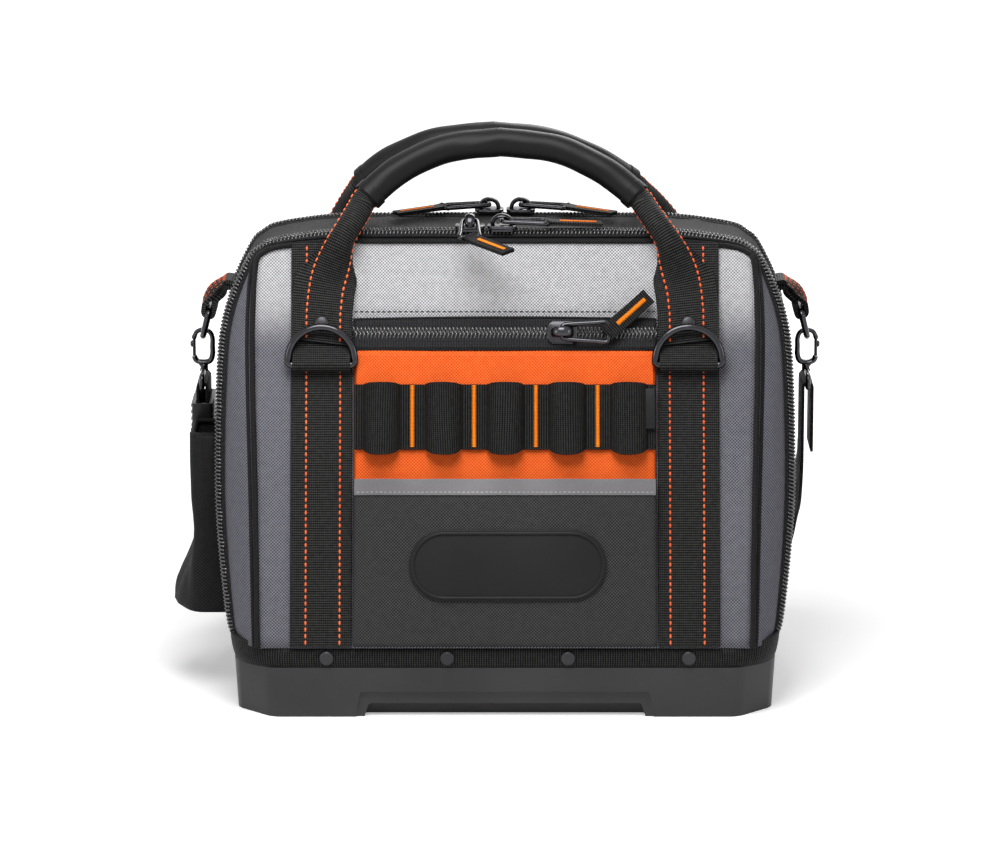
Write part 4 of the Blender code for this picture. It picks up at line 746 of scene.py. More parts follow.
def gusset_place(x, y):
    point, across, out = at(cover_rows, x)
    edge = at(edge_rows, x)[0]
    start = point + (ZIP_TAPE + GAP) * across
    bulge = math.sin(math.pi * y)
    swell = bulge * min((edge - start).length * SWELL_SHARE, SWELL_MOST)
    wave = ripple(x * 60, y * 2, 3.0, PUCKER) * bulge
    return footed(edge.lerp(start, y) + (swell + wave) * out, x)


def gusset_flat(x, y):
    width = (at(edge_rows, x)[0] - at(cover_rows, x)[0]).length - ZIP_TAPE
    return x * arch_length, y * width


for prefix, turn in COVERS:
    body = f"{prefix}_cover"
    bm = cloth(64, 56, panel_place, panel_flat)
    piece(f"{prefix}_panel_cloth", bm, grey_cloth_painted_top, body, f"{prefix}_shell", CLOTH, turn=turn)
    bm = cloth(200, 8, gusset_place, gusset_flat)
    piece(f"{prefix}_gusset_cloth", bm, gusset_painted_shade_cloth, body, "", GUSSET_CLOTH, turn=turn)
print("covers made")

# %% Piping
PIPING, CORD_LIFT = 0.0017, 0.0006
WELT, WELT_BACK, WELT_LIFT = 0.0013, 0.0036, 0.0007
cord, welt = [], []
for (edge,), (point, across, out) in zip(edge_rows, cover_rows):
    cord.append(edge + CORD_LIFT * (PANEL_OUT + out).normalized())
    welt.append(edge + WELT_BACK * (point - edge).normalized() + WELT_LIFT * out)
for prefix, turn in COVERS:
    for label, line, radius in (("piping", cord, PIPING), ("welt", welt, WELT)):
        bm = wire([row[0] for row in evenly(points_only(line), 300)], radius)
        piece(f"{prefix}_{label}", bm, piping_tape, f"{prefix}_cover", turn=turn)
print("piping made")

# %% [markdown]
# ## The big zips
# The teeth of a coil zip are one stiff nylon thread, wound into a flat helix and sewn along the
# edge of its tape. The helix is a curve: a circle that moves on along the arch. The two sides
# are set off by half a turn, so the loops of one stand between those of the other.

# %% Zip tapes and coils
TOOTH_PITCH = 0.00235
TURN_POINTS = 8
COIL_CENTRE = 0.00165
COIL_HALF_WIDTH, COIL_HALF_HEIGHT = 0.00185, 0.00085
COIL_LIFT, COIL_WIRE = 0.0005, 0.00056
TAPE_REACH = ZIP_TAPE + 0.0020
TAPE_EDGE = 0.0004
TAPE_THICK = 0.0012
TAPE_SEAM, TAPE_SEAM_LIFT = 0.0048, 0.0006


def coil(rows, phase, lift=COIL_LIFT, flatness=1.0):
    """A helix along rows of (point, across, out)."""
    count = int(path_length(rows) / TOOTH_PITCH) * TURN_POINTS
    points = []
    for k, (point, across, out) in enumerate(evenly(rows, count)):
        angle = 2 * math.pi * k / TURN_POINTS + phase
        reach = COIL_CENTRE + COIL_HALF_WIDTH * math.cos(angle)
        rise = lift + COIL_HALF_HEIGHT * math.sin(angle) * flatness
        points.append(point + reach * across + rise * out)
    return wire(points, COIL_WIRE, resolution=1)


def build_zip_half(name, rows, body, phase, turn):
    def place(x, y):
        point, across, out = at(rows, x)
        spot = point + (TAPE_EDGE + TAPE_REACH * y) * across + TAPE_EDGE * (1 - y) * out
        return footed(spot, x)

    bm = cloth(200, 3, place, (arch_length, TAPE_REACH), along_x=True)
    if body != "main":
        bmesh.ops.reverse_faces(bm, faces=bm.faces)
    piece(f"{name}_tape", bm, zip_tape, body, name, TAPE_THICK, turn=turn)
    piece(f"{name}_coil", coil(rows, phase), coil_nylon, body, turn=turn)
    seam = [(p + TAPE_SEAM * a + TAPE_SEAM_LIFT * o, o) for p, a, o in rows]
    piece(f"{name}_stitches", stitches(seam, ZIP_SEAM), black_thread, body, turn=turn)


for prefix, turn in COVERS:
    build_zip_half(f"{prefix}_zip", cover_rows, f"{prefix}_cover", 0.0, turn)
for prefix, turn in COVERS:
    build_zip_half(f"spine_zip_{prefix}", spine_rows, "main", math.pi, turn)
print("zips made")

# %% [markdown]
# ## Spine
# The spine is a band of charcoal cloth between the two zips, from one side of the tray over the
# top to the other. It sinks a little between the zips.

# %% Spine band
SPINE_SINK = 0.0012


def spine_place(x, y):
    point, back, out = at(spine_rows, x)
    front = point + (ZIP_TAPE + GAP) * back
    rear = Vector((front.x, -front.y, front.z))
    sink = SPINE_SINK * math.sin(math.pi * y)
    return footed(front.lerp(rear, y) + (ripple(x * 70, y * 2, 8.0, PUCKER) - sink) * out, x)


def spine_flat(x, y):
    return x * arch_length, 2 * (y - 0.5) * at(spine_rows, x)[0].y


bm = cloth(200, 20, spine_place, spine_flat)
piece("spine_cloth", bm, dark_cloth, "main", "spine_band", CLOTH)
print("spine made")

# %% [markdown]
# ## Tray
# The tray is one injection moulding with drafted walls, a lip that the cloth sits on, and a
# recess for the fingers between two feet, front and rear. It starts as a box whose corners are
# bevelled twice, into flat facets with soft edges. Insets and extrusions make the lip and the
# cavity, and two softened blocks on each side cut the recess and the shallow band over it.

# %% Blocks
def bevelled(bm, edges, width, segments):
    bmesh.ops.bevel(bm, geom=edges, offset=width, segments=segments, profile=0.5,
                    affect="EDGES", material=-1)


def upright(bm):
    return [e for e in bm.edges if abs(e.verts[0].co.z - e.verts[1].co.z) > WELD]


def box(low, high, corner=0.0, segments=1, soften=0.0):
    """A block with its upright edges rounded by corner, then all its edges by soften."""
    low, high = Vector(low), Vector(high)
    bm = bmesh.new()
    bmesh.ops.create_cube(bm, size=1.0)
    bmesh.ops.scale(bm, verts=bm.verts, vec=high - low)
    bmesh.ops.translate(bm, verts=bm.verts, vec=(low + high) / 2)
    if corner:
        bevelled(bm, upright(bm), corner, segments)
    if soften:
        sharp = math.radians(BEVEL_ANGLE)
        bevelled(bm, [e for e in bm.edges if e.calc_face_angle(0.0) > sharp], soften, 3)
    return bm


def push(bm, face, rise):
    """Extrude one face upwards, or downwards into the block."""
    made = bmesh.ops.extrude_face_region(bm, geom=[face])["geom"]
    moved = [g for g in made if isinstance(g, bmesh.types.BMVert)]
    bmesh.ops.translate(bm, verts=moved, vec=(0.0, 0.0, rise))
    return next(g for g in made if isinstance(g, bmesh.types.BMFace))


def inset(bm, face, width):
    bmesh.ops.inset_region(bm, faces=[face], thickness=width, use_even_offset=True)
    return face


# %% Tray
TRAY_HALF = Vector((0.168, 0.116, 0.0))
TRAY_DRAFT = Vector((0.0018, 0.0018, 0.0))
FACET, FACET_ROUND = 0.0225, 0.0050
LIP_Z, TRAY_TOP_Z, STEP_Z, FLOOR_Z = 0.0320, 0.0436, 0.0115, 0.0030
TRAY_LEDGE, TRAY_WALL, STEP_WIDTH = 0.0024, 0.0030, 0.0120
bm = box(-TRAY_HALF, TRAY_HALF + Vector((0.0, 0.0, LIP_Z)), FACET)
bevelled(bm, upright(bm), FACET_ROUND, 6)
foot = TRAY_HALF - TRAY_DRAFT
shrink = (foot.x / TRAY_HALF.x, foot.y / TRAY_HALF.y, 1.0)
bmesh.ops.scale(bm, verts=[v for v in bm.verts if v.co.z < WELD], vec=shrink)
top = max(bm.faces, key=lambda f: f.calc_center_median().z)
top = push(bm, inset(bm, top, TRAY_LEDGE), TRAY_TOP_Z - LIP_Z)
top = push(bm, inset(bm, top, TRAY_WALL), STEP_Z - TRAY_TOP_Z)
push(bm, inset(bm, top, STEP_WIDTH), FLOOR_Z - STEP_Z)
bmesh.ops.recalc_face_normals(bm, faces=bm.faces)
tray = piece("tray", bm, tray_plastic, "main", "base_tray", smooth=False)
print("tray walls made")

# %% Recesses
# Each cut has half a length, a depth, a height and the radius of its edges
CUTS = ((0.0850, 0.0115, 0.0085, 0.0025), (0.0900, 0.0030, 0.0164, 0.0024))
CUT_SLANT = 0.0045
CUT_PAST = 0.010
TRAY_EDGE = 0.0014
cutters = []
for side in (-1, 1):
    for half, depth, height, soften in CUTS:
        near, far = sorted(side * (TRAY_HALF.y + reach) for reach in (-depth, CUT_PAST))
        block = box((-half, near, -CUT_PAST), (half, far, height), soften=soften)
        low = [v for v in block.verts if v.co.z < 0.0]
        bmesh.ops.scale(block, verts=low, vec=((half + CUT_SLANT) / half, 1.0, 1.0))
        cutters.append(as_object("cutter", block))
        take = tray.modifiers.new("recess", "BOOLEAN")
        take.operation = "DIFFERENCE"
        take.object = cutters[-1]
baked(tray)
for cutter in cutters:
    bpy.data.objects.remove(cutter)
tray.data.shade_smooth()
soften_edges(tray, TRAY_EDGE, 3, 30)
print("tray faces", len(tray.data.polygons))

# %% [markdown]
# ## Binding and rivets
# A ribbon of webbing covers the raw edges of the cloth round the rim, and rivets fasten it to
# the tray. The ribbon is a closed strip round the rounded rectangle of the rim.

# %% Rim binding
BINDING_LOW, BINDING_HEIGHT, BINDING_THICK = 0.0323, 0.0120, 0.0024
BINDING_FACE = 0.0026
RIM_CORNER = 0.030
END_START, END_WIDTH, END_RISE, END_FLARE = 0.140, 0.024, 0.0040, 0.0030
TUCK = 0.0006
shy = TRAY_LEDGE - GAP - BINDING_FACE
half_x, half_y, corner = TRAY_HALF.x - shy, TRAY_HALF.y - shy, RIM_CORNER - shy
rim = [Vector((0.0, half_y, 0.0))]
for quarter, (sign_x, sign_y) in enumerate(((1, 1), (1, -1), (-1, -1), (-1, 1))):
    for k in range(13):
        angle = math.pi / 2 * (1 - quarter - k / 12)
        x = sign_x * (half_x - corner) + corner * math.cos(angle)
        y = sign_y * (half_y - corner) + corner * math.sin(angle)
        rim.append(Vector((x, y, 0.0)))
rim_rows = evenly(points_only(rim + rim[:1]), 240)


def binding_place(x, y):
    """The ribbon rises and stands off a little towards the ends of the bag."""
    spot = at(rim_rows, x)[0].copy()
    wave = ripple(spot.x * 40, spot.y * 40, 1.0, TUCK)
    end = smoothstep((abs(spot.x) - END_START) / END_WIDTH)
    spot.z = BINDING_LOW + (BINDING_HEIGHT + END_RISE * end) * y + wave * y
    outward = Vector((spot.x / TRAY_HALF.x, spot.y / TRAY_HALF.y, 0.0))
    flare = Vector((math.copysign(END_FLARE, spot.x), 0.0, 0.0)) * end * y
    return spot + flare - outward * TUCK * (2 * y - 1) ** 2


bm = cloth(240, 4, binding_place, (path_length(rim_rows), BINDING_HEIGHT), along_x=True)
bmesh.ops.remove_doubles(bm, verts=bm.verts, dist=WELD)
bmesh.ops.reverse_faces(bm, faces=bm.faces)
piece("rim_ribbon", bm, webbing, "main", "rim_binding", BINDING_THICK)
print("binding made")

# %% Rivets
RIVET_RADIUS, RIVET_RISE = 0.0046, 0.0018
RIVET_PITCH, RIVET_SHIFT = 0.0745, 0.0016
DOME_SHARES = ((0.98, 0.0), (1.0, 0.30), (0.86, 0.72), (0.50, 0.95), (0.0, 1.0))


def dome(radius, rise):
    """A low rivet head: a profile spun round Z, flat underneath."""
    bm = bmesh.new()
    verts = [bm.verts.new((radius * x, 0.0, rise * z)) for x, z in DOME_SHARES]
    edges = [bm.edges.new(pair) for pair in zip(verts, verts[1:])]
    bmesh.ops.spin(bm, geom=verts + edges, cent=(0, 0, 0), axis=(0, 0, 1), angle=2 * math.pi,
                   steps=24, use_merge=True)
    return closed_up(bm)


def rivet(name, body, turn, stands_for=""):
    head = dome(RIVET_RADIUS, RIVET_RISE)
    piece(name, head, rivet_steel, body, stands_for, turn=turn @ FACE_FRONT)


rivet_y = -(TRAY_HALF.y - TRAY_LEDGE + GAP + BINDING_FACE + GAP)
rivet_z = BINDING_LOW + BINDING_HEIGHT / 2
for number in range(1, 5):
    stand = Matrix.Translation((RIVET_PITCH * (number - 2.5) + RIVET_SHIFT, rivet_y, rivet_z))
    rivet(f"rivet_front_{number}", "main", stand, f"rim_rivet_{number}")
    rivet(f"rivet_rear_{number}", "main", HALF_TURN @ stand)
print("rivets made")

# %% [markdown]
# ## Webbing on the covers
# Two straps of 38 mm webbing run up each cover and carry the load from the tray to the handle.
# Two rows of orange thread hold each of them. A strap is stiff, so it follows only a part of
# the panel's swell.

# %% Straps up the covers
WEB, WEB_THICK, WEB_EDGE = 0.0381, 0.0022, 0.0005
WEB_X, WEB_TOP = 0.1136, 0.2522
SWELL_PART = 0.6
SEAM_HALF, SEAM_SHIFT = 0.0105, 0.0011
SEAM_LOW, SEAM_HIGH = 0.0012, WEB_TOP - 0.002
web_face = GAP + WEB_THICK


def on_strap(x, up, out=web_face):
    return on_panel(x, up, out + crown(x, up) * SWELL_PART)


def web_seam(x):
    ups = [SEAM_LOW + (SEAM_HIGH - SEAM_LOW) * k / 40 for k in range(41)]
    return stitches([(on_strap(x, up, web_face + 0.0001), PANEL_OUT) for up in ups])


for prefix, turn in COVERS:
    for label, side in SIDES if prefix == "front" else (("right", -1), ("left", 1)):
        def place(x, y):
            return on_strap(side * WEB_X + WEB * (x - 0.5), GAP + (WEB_TOP - GAP) * y)

        name, body = f"{prefix}_webbing_{label}", f"{prefix}_cover"
        bm = cloth(12, 90, place, (WEB, WEB_TOP))
        piece(f"{name}_strap", bm, webbing, body, name, WEB_THICK, bevel=WEB_EDGE, turn=turn)
        seams = [side * (WEB_X - SEAM_SHIFT) + line * SEAM_HALF for line in (-1, 1)]
        threads = joined(*[web_seam(x) for x in seams])
        piece(f"{name}_thread", threads, orange_thread, body, turn=turn)
print("webbing made")

# %% [markdown]
# ## Front pockets
# An orange pocket with a zip across its top covers the panel between the straps. A charcoal slip
# pocket lies over its lower half, with a strip of glass-bead tape along its hem. Both pockets
# stand away from the panel on short side walls, more at the top than at the foot.

# %% Pocket cloth
POCKET_HALF, WALL_X, WALL_SOFT = 0.0936, 0.0930, 0.0014
POCKET_CLOTH = 0.0012
POCKET_LOW, POCKET_TOP, SLIP_LOW, SLIP_TOP = 0.0600, 0.1846, 0.0006, 0.1036
FULL_UP, FOOT_DEPTH, POCKET_GAIN, SLIP_GAIN = 0.0900, 0.0003, 0.0037, 0.0072
SLIP_SLACK, POCKET_RIPPLE = 0.0006, 0.0004
LOOP_PITCH, LOOP_WAVE, LOOP_WAVE_UP, LOOP_WAVE_HALF = 0.0382, 0.0009, 0.1130, 0.014


def pocket_surface(gain, base, wall, slack):
    """How far a pocket's face stands out of the panel. Slack cloth stands out a little more in
    the middle, and there are small waves just below the tool loops."""
    def out_at(x, up):
        rise = smoothstep((wall - abs(x)) / WALL_SOFT)
        depth = FOOT_DEPTH + gain * min(up / FULL_UP, 1.0)
        sag = slack * (1 - (x / wall) ** 2) * math.sin(math.pi * min(up / SLIP_TOP, 1.0))
        near_loops = math.exp(-(((up - LOOP_WAVE_UP) / LOOP_WAVE_HALF) ** 2))
        wave = LOOP_WAVE * math.cos(2 * math.pi * x / LOOP_PITCH) * near_loops
        wave += ripple(x * 25, up * 25, base * 900, POCKET_RIPPLE)
        return base + POCKET_CLOTH + (depth + sag + wave) * rise
    return out_at


def pocket_mesh(out_at, half, low, high, length, rows, lift=0.0):
    """Cloth on a pocket's face, of a given length, between two heights up the panel."""
    def place(x, y):
        across, up = half * (2 * x - 1), low + (high - low) * y
        return on_panel(across, up, out_at(across, up) + lift)

    return cloth(90, rows, place, (2 * half, length))


def level_line(half, up, out_at, steps=80):
    """Points of a level line on the panel, each with its height over it."""
    spread = [half * (2 * k / steps - 1) for k in range(steps + 1)]
    return [on_panel(x, up, out_at(x, up)) for x in spread]


def level_seam(name, seam, thread, *line):
    rows = [(point, PANEL_OUT) for point in level_line(*line)]
    piece(name, stitches(rows, seam), thread, "front_cover")


orange_out = pocket_surface(POCKET_GAIN, GAP, WALL_X, 0.0)
slip_base = 2 * GAP + POCKET_CLOTH
slip_out = pocket_surface(SLIP_GAIN, slip_base, WALL_X + POCKET_CLOTH + GAP, SLIP_SLACK)
STRIP_HEIGHT, STRIP_THICK, STRIP_EDGE, STRIP_LIFT = 0.0099, 0.0008, 0.0003, 0.0009
STRIP_LOW, STRIP_HIGH = SLIP_TOP - STRIP_HEIGHT, SLIP_TOP + 0.0002
bm = pocket_mesh(orange_out, POCKET_HALF, POCKET_LOW, POCKET_TOP, POCKET_TOP - POCKET_LOW, 30)
piece("orange_pocket", bm, orange_cloth, "front_cover", "pocket_panel", POCKET_CLOTH)
bm = pocket_mesh(slip_out, POCKET_HALF, SLIP_LOW, SLIP_TOP, SLIP_TOP, 40)
piece("slip_pocket_cloth", bm, dark_cloth, "front_cover", "slip_pocket", POCKET_CLOTH)
bm = pocket_mesh(slip_out, WALL_X, STRIP_LOW, STRIP_HIGH, STRIP_HEIGHT, 4, STRIP_LIFT)
piece("bead_strip", bm, bead_tape, "front_cover", "reflective_strip", STRIP_THICK,
      bevel=STRIP_EDGE)
level_seam("orange_pocket_hem", HEM_SEAM, orange_thread, 0.0925, POCKET_TOP - 0.0036, orange_out)
level_seam("strip_thread", STRIP_SEAM, pale_thread, 0.0920, STRIP_LOW + 0.0018,
           lambda x, up: slip_out(x, up) + 0.0010, 46)
print("pockets made")

# %% [markdown]
# ## Badge
# A soft badge is sewn to the slip pocket. Its plate is a circle pulled apart into two half
# circles and raised, and a round bead runs inside its edge. Its field is left bare.

# %% Badge
BADGE_LENGTH, BADGE_HEIGHT, BADGE_THICK = 0.1222, 0.0443, 0.0014
BADGE_X, BADGE_LOW, BADGE_SINK = 0.0018, 0.0283, 0.0002
BADGE_SEGMENTS, BADGE_EDGE = 62, 0.0004
BEAD_INSET, BEAD_RADIUS = 0.0022, 0.0011
radius = BADGE_HEIGHT / 2
apart = BADGE_LENGTH / 2 - radius
bm = bmesh.new()
bmesh.ops.create_circle(bm, cap_ends=True, segments=BADGE_SEGMENTS, radius=radius)
for side in (-1, 1):
    half = [v for v in bm.verts if v.co.x * side > 0]
    bmesh.ops.translate(bm, verts=half, vec=(side * apart, 0.0, 0.0))
field = push(bm, bm.faces[:][0], BADGE_THICK)
bevelled(bm, list(field.edges), BADGE_EDGE, 3)
bmesh.ops.holes_fill(bm, edges=[e for e in bm.edges if e.is_boundary])
bmesh.ops.recalc_face_normals(bm, faces=bm.faces)
bead = []
for k in range(BADGE_SEGMENTS):
    angle = 2 * math.pi * (k + 0.5) / BADGE_SEGMENTS
    x, y = ((radius - BEAD_INSET) * turned(angle) for turned in (math.cos, math.sin))
    bead.append((math.copysign(apart, x) + x, y, BADGE_THICK))
bm = joined(bm, wire(bead, BEAD_RADIUS, closed=True, resolution=3))
slope = Matrix.Rotation(math.atan(SLIP_GAIN / FULL_UP), 4, "X")
stand = mounted(BADGE_X, BADGE_LOW, slip_out(0.0, BADGE_LOW) - BADGE_SINK) @ slope
stand = stand @ Matrix.Translation((0.0, 0.0, radius)) @ FACE_FRONT
piece("badge_plate", bm, badge_rubber, "front_cover", "badge", turn=stand)
print("badge made")

# %% [markdown]
# ## Tool loops
# One strip of elastic webbing is sewn down in four places and stands out in five loops between
# them. Its path is a row of half ellipses, and a bartack of orange thread fills each valley.
# Each loop leans, sways and is dented a little differently.

# %% Tool loops
LOOPS_LOW, LOOPS_HEIGHT, LOOPS_HALF = 0.1223, 0.0405, 0.0932
LOOP_HALF, LOOP_DEPTH, LOOP_CLOTH, LOOP_EDGE = 0.0114, 0.0100, 0.0015, 0.0003
LOOP_SAG, LOOP_LIFT, LOOP_LEAN, LOOP_SWAY, LOOP_DENT = 0.0042, 0.0008, 0.0016, 0.0012, 0.0011
BULGE_ROUND = 0.55
TACK_WIDTH = 0.0034
loops_foot = GAP + 0.0040 + POCKET_CLOTH + GAP + LOOP_CLOTH


def bulge_rows(reach, samples, count, pitch, half, depth, power, last):
    """Rows along a strip that stands out in rounded bulges, 2 * last + 1 of them."""
    points = []
    for k in range(2 * samples + 1):
        x = reach * (k / samples - 1)
        nearest = pitch * min(max(round(x / pitch), -last), last)
        share = abs(x - nearest) / half
        points.append((x, depth * max(1 - share**power, 0.0) ** BULGE_ROUND, 0.0))
    return evenly(points_only(points), count)


loop_rows = bulge_rows(
    LOOPS_HALF, 600, 260, LOOP_PITCH, LOOP_HALF, LOOP_DEPTH - LOOP_CLOTH, 2.3, 2)
loops_run = path_length(loop_rows)


def loops_place(x, y):
    spot = at(loop_rows, x)[0]
    bulge = smoothstep(spot.y / LOOP_DEPTH)
    up = LOOPS_LOW + LOOPS_HEIGHT * y - LOOP_SAG * bulge * (1 - y) ** 2 + LOOP_LIFT * bulge * y**2
    lean = LOOP_LEAN * math.sin(round(spot.x / LOOP_PITCH) * 2.4 + 1.0) * (y - 0.5)
    sway = ripple(spot.x * 45, up * 18, 5.0, LOOP_SWAY)
    dent = ripple(spot.x * 60, up * 30, 9.0, LOOP_DENT)
    return on_panel(spot.x + (lean + sway) * bulge, up, loops_foot + spot.y + dent * bulge)


bm = cloth(260, 10, loops_place, (loops_run, LOOPS_HEIGHT), along_x=True)
piece("tool_loop_strip", bm, elastic, "front_cover", "tool_loops", LOOP_CLOTH, bevel=LOOP_EDGE)
tacks = []
for k in (-1.5, -0.5, 0.5, 1.5):
    ends = (LOOPS_LOW + 0.0015, LOOPS_LOW + LOOPS_HEIGHT - 0.0005)
    low, high = (on_panel(LOOP_PITCH * k, up, loops_foot + 0.0002) for up in ends)
    tacks.append(bartack(low, high, PANEL_OUT, TACK_WIDTH))
piece("tool_loop_tacks", joined(*tacks), tack_thread, "front_cover")
print(f"loop strip {loops_run:.3f} m")

# %% Plain tag at the end of the loops
TAG_HALF, TAG_THICK, TAG_HEIGHT, TAG_EDGE = 0.00475, 0.0016, 0.0250, 0.0004
TAG_X, TAG_LOW, TAG_LIFT = 0.0880, 0.1350, 0.0014
TAG_TURN = Matrix.Rotation(-0.10, 4, "Z")
bm = box((-TAG_HALF, -TAG_THICK, 0.0), (TAG_HALF, 0.0, TAG_HEIGHT), soften=TAG_EDGE)
stand = mounted(TAG_X, TAG_LOW, loops_foot + TAG_LIFT) @ TAG_TURN
piece("side_tag", bm, badge_rubber, "front_cover", turn=stand)
print("tag made")

# %% [markdown]
# ## Pocket zip
# The tape lies over the pocket's mouth and slopes back to the panel. The coil is the same helix
# as on the big zips, in two rows. A folded lip of bias tape runs above and below the tape, and
# a seam through the panel holds the upper one.

# %% Pocket zip
MOUTH_HALF, MOUTH_TOP, MOUTH_DEPTH, MOUTH_DIP = 0.0940, 0.2050, 0.0040, 0.0012
COIL_UP, SMALL_LIFT, SMALL_FLATNESS = 0.1953, 0.0002, 0.7
ZIP_SEAM_UP = 0.0052
MOUTH_TAPE = 0.0010


def mouth_out(x, up):
    share = (up - POCKET_TOP) / (MOUTH_TOP - POCKET_TOP)
    return GAP + MOUTH_DEPTH * (1 - share) + POCKET_CLOTH


def mouth_place(x, y):
    across = MOUTH_HALF * (2 * x - 1)
    low, top = POCKET_TOP + GAP, MOUTH_TOP - MOUTH_DIP * (across / MOUTH_HALF) ** 2
    up = low + (top - low) * y
    return on_panel(across, up, mouth_out(across, up))


bm = cloth(80, 10, mouth_place, (2 * MOUTH_HALF, MOUTH_TOP - POCKET_TOP), along_x=True)
piece("pocket_zip_tape", bm, zip_tape, "front_cover", "pocket_zip", MOUTH_TAPE)
middle = level_line(MOUTH_HALF, COIL_UP, mouth_out)
for label, way, phase in (("upper", 1, 0.0), ("lower", -1, math.pi)):
    rows = [(point, PANEL_UP * way, PANEL_OUT) for point in middle]
    bm = coil(rows, phase, SMALL_LIFT, SMALL_FLATNESS)
    piece(f"pocket_coil_{label}", bm, coil_nylon, "front_cover")
    level_seam(f"pocket_zip_seam_{label}", FLAT_SEAM, black_thread, MOUTH_HALF,
               COIL_UP + way * ZIP_SEAM_UP, lambda x, up: mouth_out(x, up) + 0.0001)
print("pocket zip made")

# %% Lips of the pocket
# Each lip is a height up the panel, a dip at its ends, a lift off the panel and a radius
LIPS = ((MOUTH_TOP + 0.0002, MOUTH_DIP, 0.0004, 0.0008), (POCKET_TOP, 0.0, 0.0046, 0.0006))
SEAM_UP = MOUTH_TOP + 0.0040
lips = []
for up, dip, lift, radius in LIPS:
    line = level_line(MOUTH_HALF, up, lambda x, up: GAP + POCKET_CLOTH * 0.5 + lift)
    line = [p - PANEL_UP * dip * (p.x / MOUTH_HALF) ** 2 for p in line]
    lips.append(wire(line, radius))
piece("pocket_lips", joined(*lips), piping_tape, "front_cover")
level_seam("panel_seam", PANEL_SEAM, black_thread, MOUTH_HALF, SEAM_UP,
           lambda x, up: GAP + crown(0.0, up))
print("lips made")

# %% [markdown]
# ## Anchors and D-rings
# Each anchor is a short strap folded round the bar of a D-ring and riveted. The ring is wire
# bent to a D: a straight bar below, in the fold, and a bow that stands up against the strap.

# %% Anchors and D-rings
BAR_UP, BAR_OUT = 0.1748, 0.0071
ANCHOR_HALF, ANCHOR_THICK, ANCHOR_EDGE = 0.0179, 0.0015, 0.0004
FOLD_RADIUS, FOLD_ANGLES = 0.0035, (50, 20, -10, -40, -70, -100, -130, -160, -190)
FOLD_ABOVE = ((0.0046, 0.1925), (0.0052, 0.1880), (0.0072, 0.1826))
FOLD_BEHIND = ((0.0036, 0.1800), (0.0036, 0.1900))
RIVET_UP, RIVET_OUT = 0.2010, 0.0062
RING_HALF, RING_HEIGHT, RING_BEND, RING_WIRE = 0.0207, 0.0236, 0.0026, 0.0023
RING_TILT = Matrix.Rotation(math.radians(12), 4, "X")


def around(x, y, radius, degrees):
    """Points of an arc round (x, y), one for each angle in degrees."""
    turns = [math.radians(angle) for angle in degrees]
    return [(x + radius * math.cos(a), y + radius * math.sin(a)) for a in turns]


def d_path(half, height, bend):
    """A D with its bar along X through the origin and its bow towards +Z."""
    bar = [(k * (half - bend) / 3, 0.0) for k in range(-3, 4)]
    corner = [(half - bend * 0.3, bend * 0.3), (half, bend)]
    bow = around(0.0, height - half, half, range(15, 180, 15))
    line = bar + corner + bow + [(-x, z) for x, z in corner[::-1]]
    return smooth_path([(x, 0.0, z) for x, z in line], 4, closed=True)


fold = [*FOLD_ABOVE, *around(BAR_OUT, BAR_UP, FOLD_RADIUS, FOLD_ANGLES), *FOLD_BEHIND]
fold_rows = evenly(points_only((0.0, -out, up) for out, up in fold), 60)
for label, side in SIDES:
    def anchor_place(x, y):
        spot = at(fold_rows, 1 - y)[0]
        spot.x = side * WEB_X + 2 * ANCHOR_HALF * (x - 0.5)
        return PANEL_FRAME @ spot

    bm = cloth(12, 60, anchor_place, (2 * ANCHOR_HALF, path_length(fold_rows)))
    piece(f"anchor_{label}", bm, webbing, "front_cover", f"front_anchor_{label}", ANCHOR_THICK,
          0.0, ANCHOR_EDGE)
    stand = mounted(side * WEB_X, RIVET_UP, RIVET_OUT)
    rivet(f"anchor_rivet_{label}", "front_cover", stand, f"front_rivet_{label}")
    bm = wire(d_path(RING_HALF, RING_HEIGHT, RING_BEND), RING_WIRE, closed=True, resolution=5)
    stand = mounted(side * WEB_X, BAR_UP, BAR_OUT) @ RING_TILT
    piece(f"d_ring_{label}", bm, black_nickel, f"dring_{label}", f"front_dring_{label}",
          turn=stand)
print("anchors made")

# %% [markdown]
# ## Handles
# The webbing leaves the cover flat, folds round itself as it rises and runs on inside a padded
# grip. Across the fold its width of 38 mm stays the same: the strip only bends, from flat to a
# tube, so a section is an arc of that length whose radius shrinks. The legs belong to no body:
# they stay where they are made.

# %% Handle path
PIVOT_UP, PIVOT_OUT = 0.2080, 0.0039
HANDLE_CROWN = Vector((0.0, -0.0115, 0.3425))
HANDLE_SHARES = (
    (1.000, 0.000, 0.000), (0.976, 0.191, 0.150), (0.905, 0.398, 0.262), (0.829, 0.533, 0.410),
    (0.780, 0.618, 0.540), (0.745, 0.673, 0.633), (0.555, 0.839, 0.829), (0.300, 0.961, 0.963),
    (0.000, 1.000, 1.000),
)
LEG_STEPS, LEG_END, GRIP_START = 10, 60, 50
SEWN = ((0.1885, 0.0070), (0.1925, 0.0063), (0.1975, 0.0049), (0.2025, 0.0041), (0.2067, 0.0039))
pivot = on_panel(0.0, PIVOT_UP, PIVOT_OUT)
climb = HANDLE_CROWN - pivot
half_handle = [
    Vector((-WEB_X * x, pivot.y + climb.y * lean, pivot.z + climb.z * rise))
    for x, rise, lean in HANDLE_SHARES
]
handle_line = mirrored(smooth_path(half_handle, LEG_STEPS))
handle_rows = []
for point, run in zip(handle_line, runs(handle_line)):
    across = run.cross(PANEL_OUT).normalized()
    handle_rows.append((point, across, across.cross(run).normalized()))
flat_across = handle_rows[0][1]
sewn_rows = [(on_panel(-WEB_X, up, out), flat_across, PANEL_OUT) for up, out in SEWN]
leg_rows = sewn_rows + handle_rows[: LEG_END + 1]
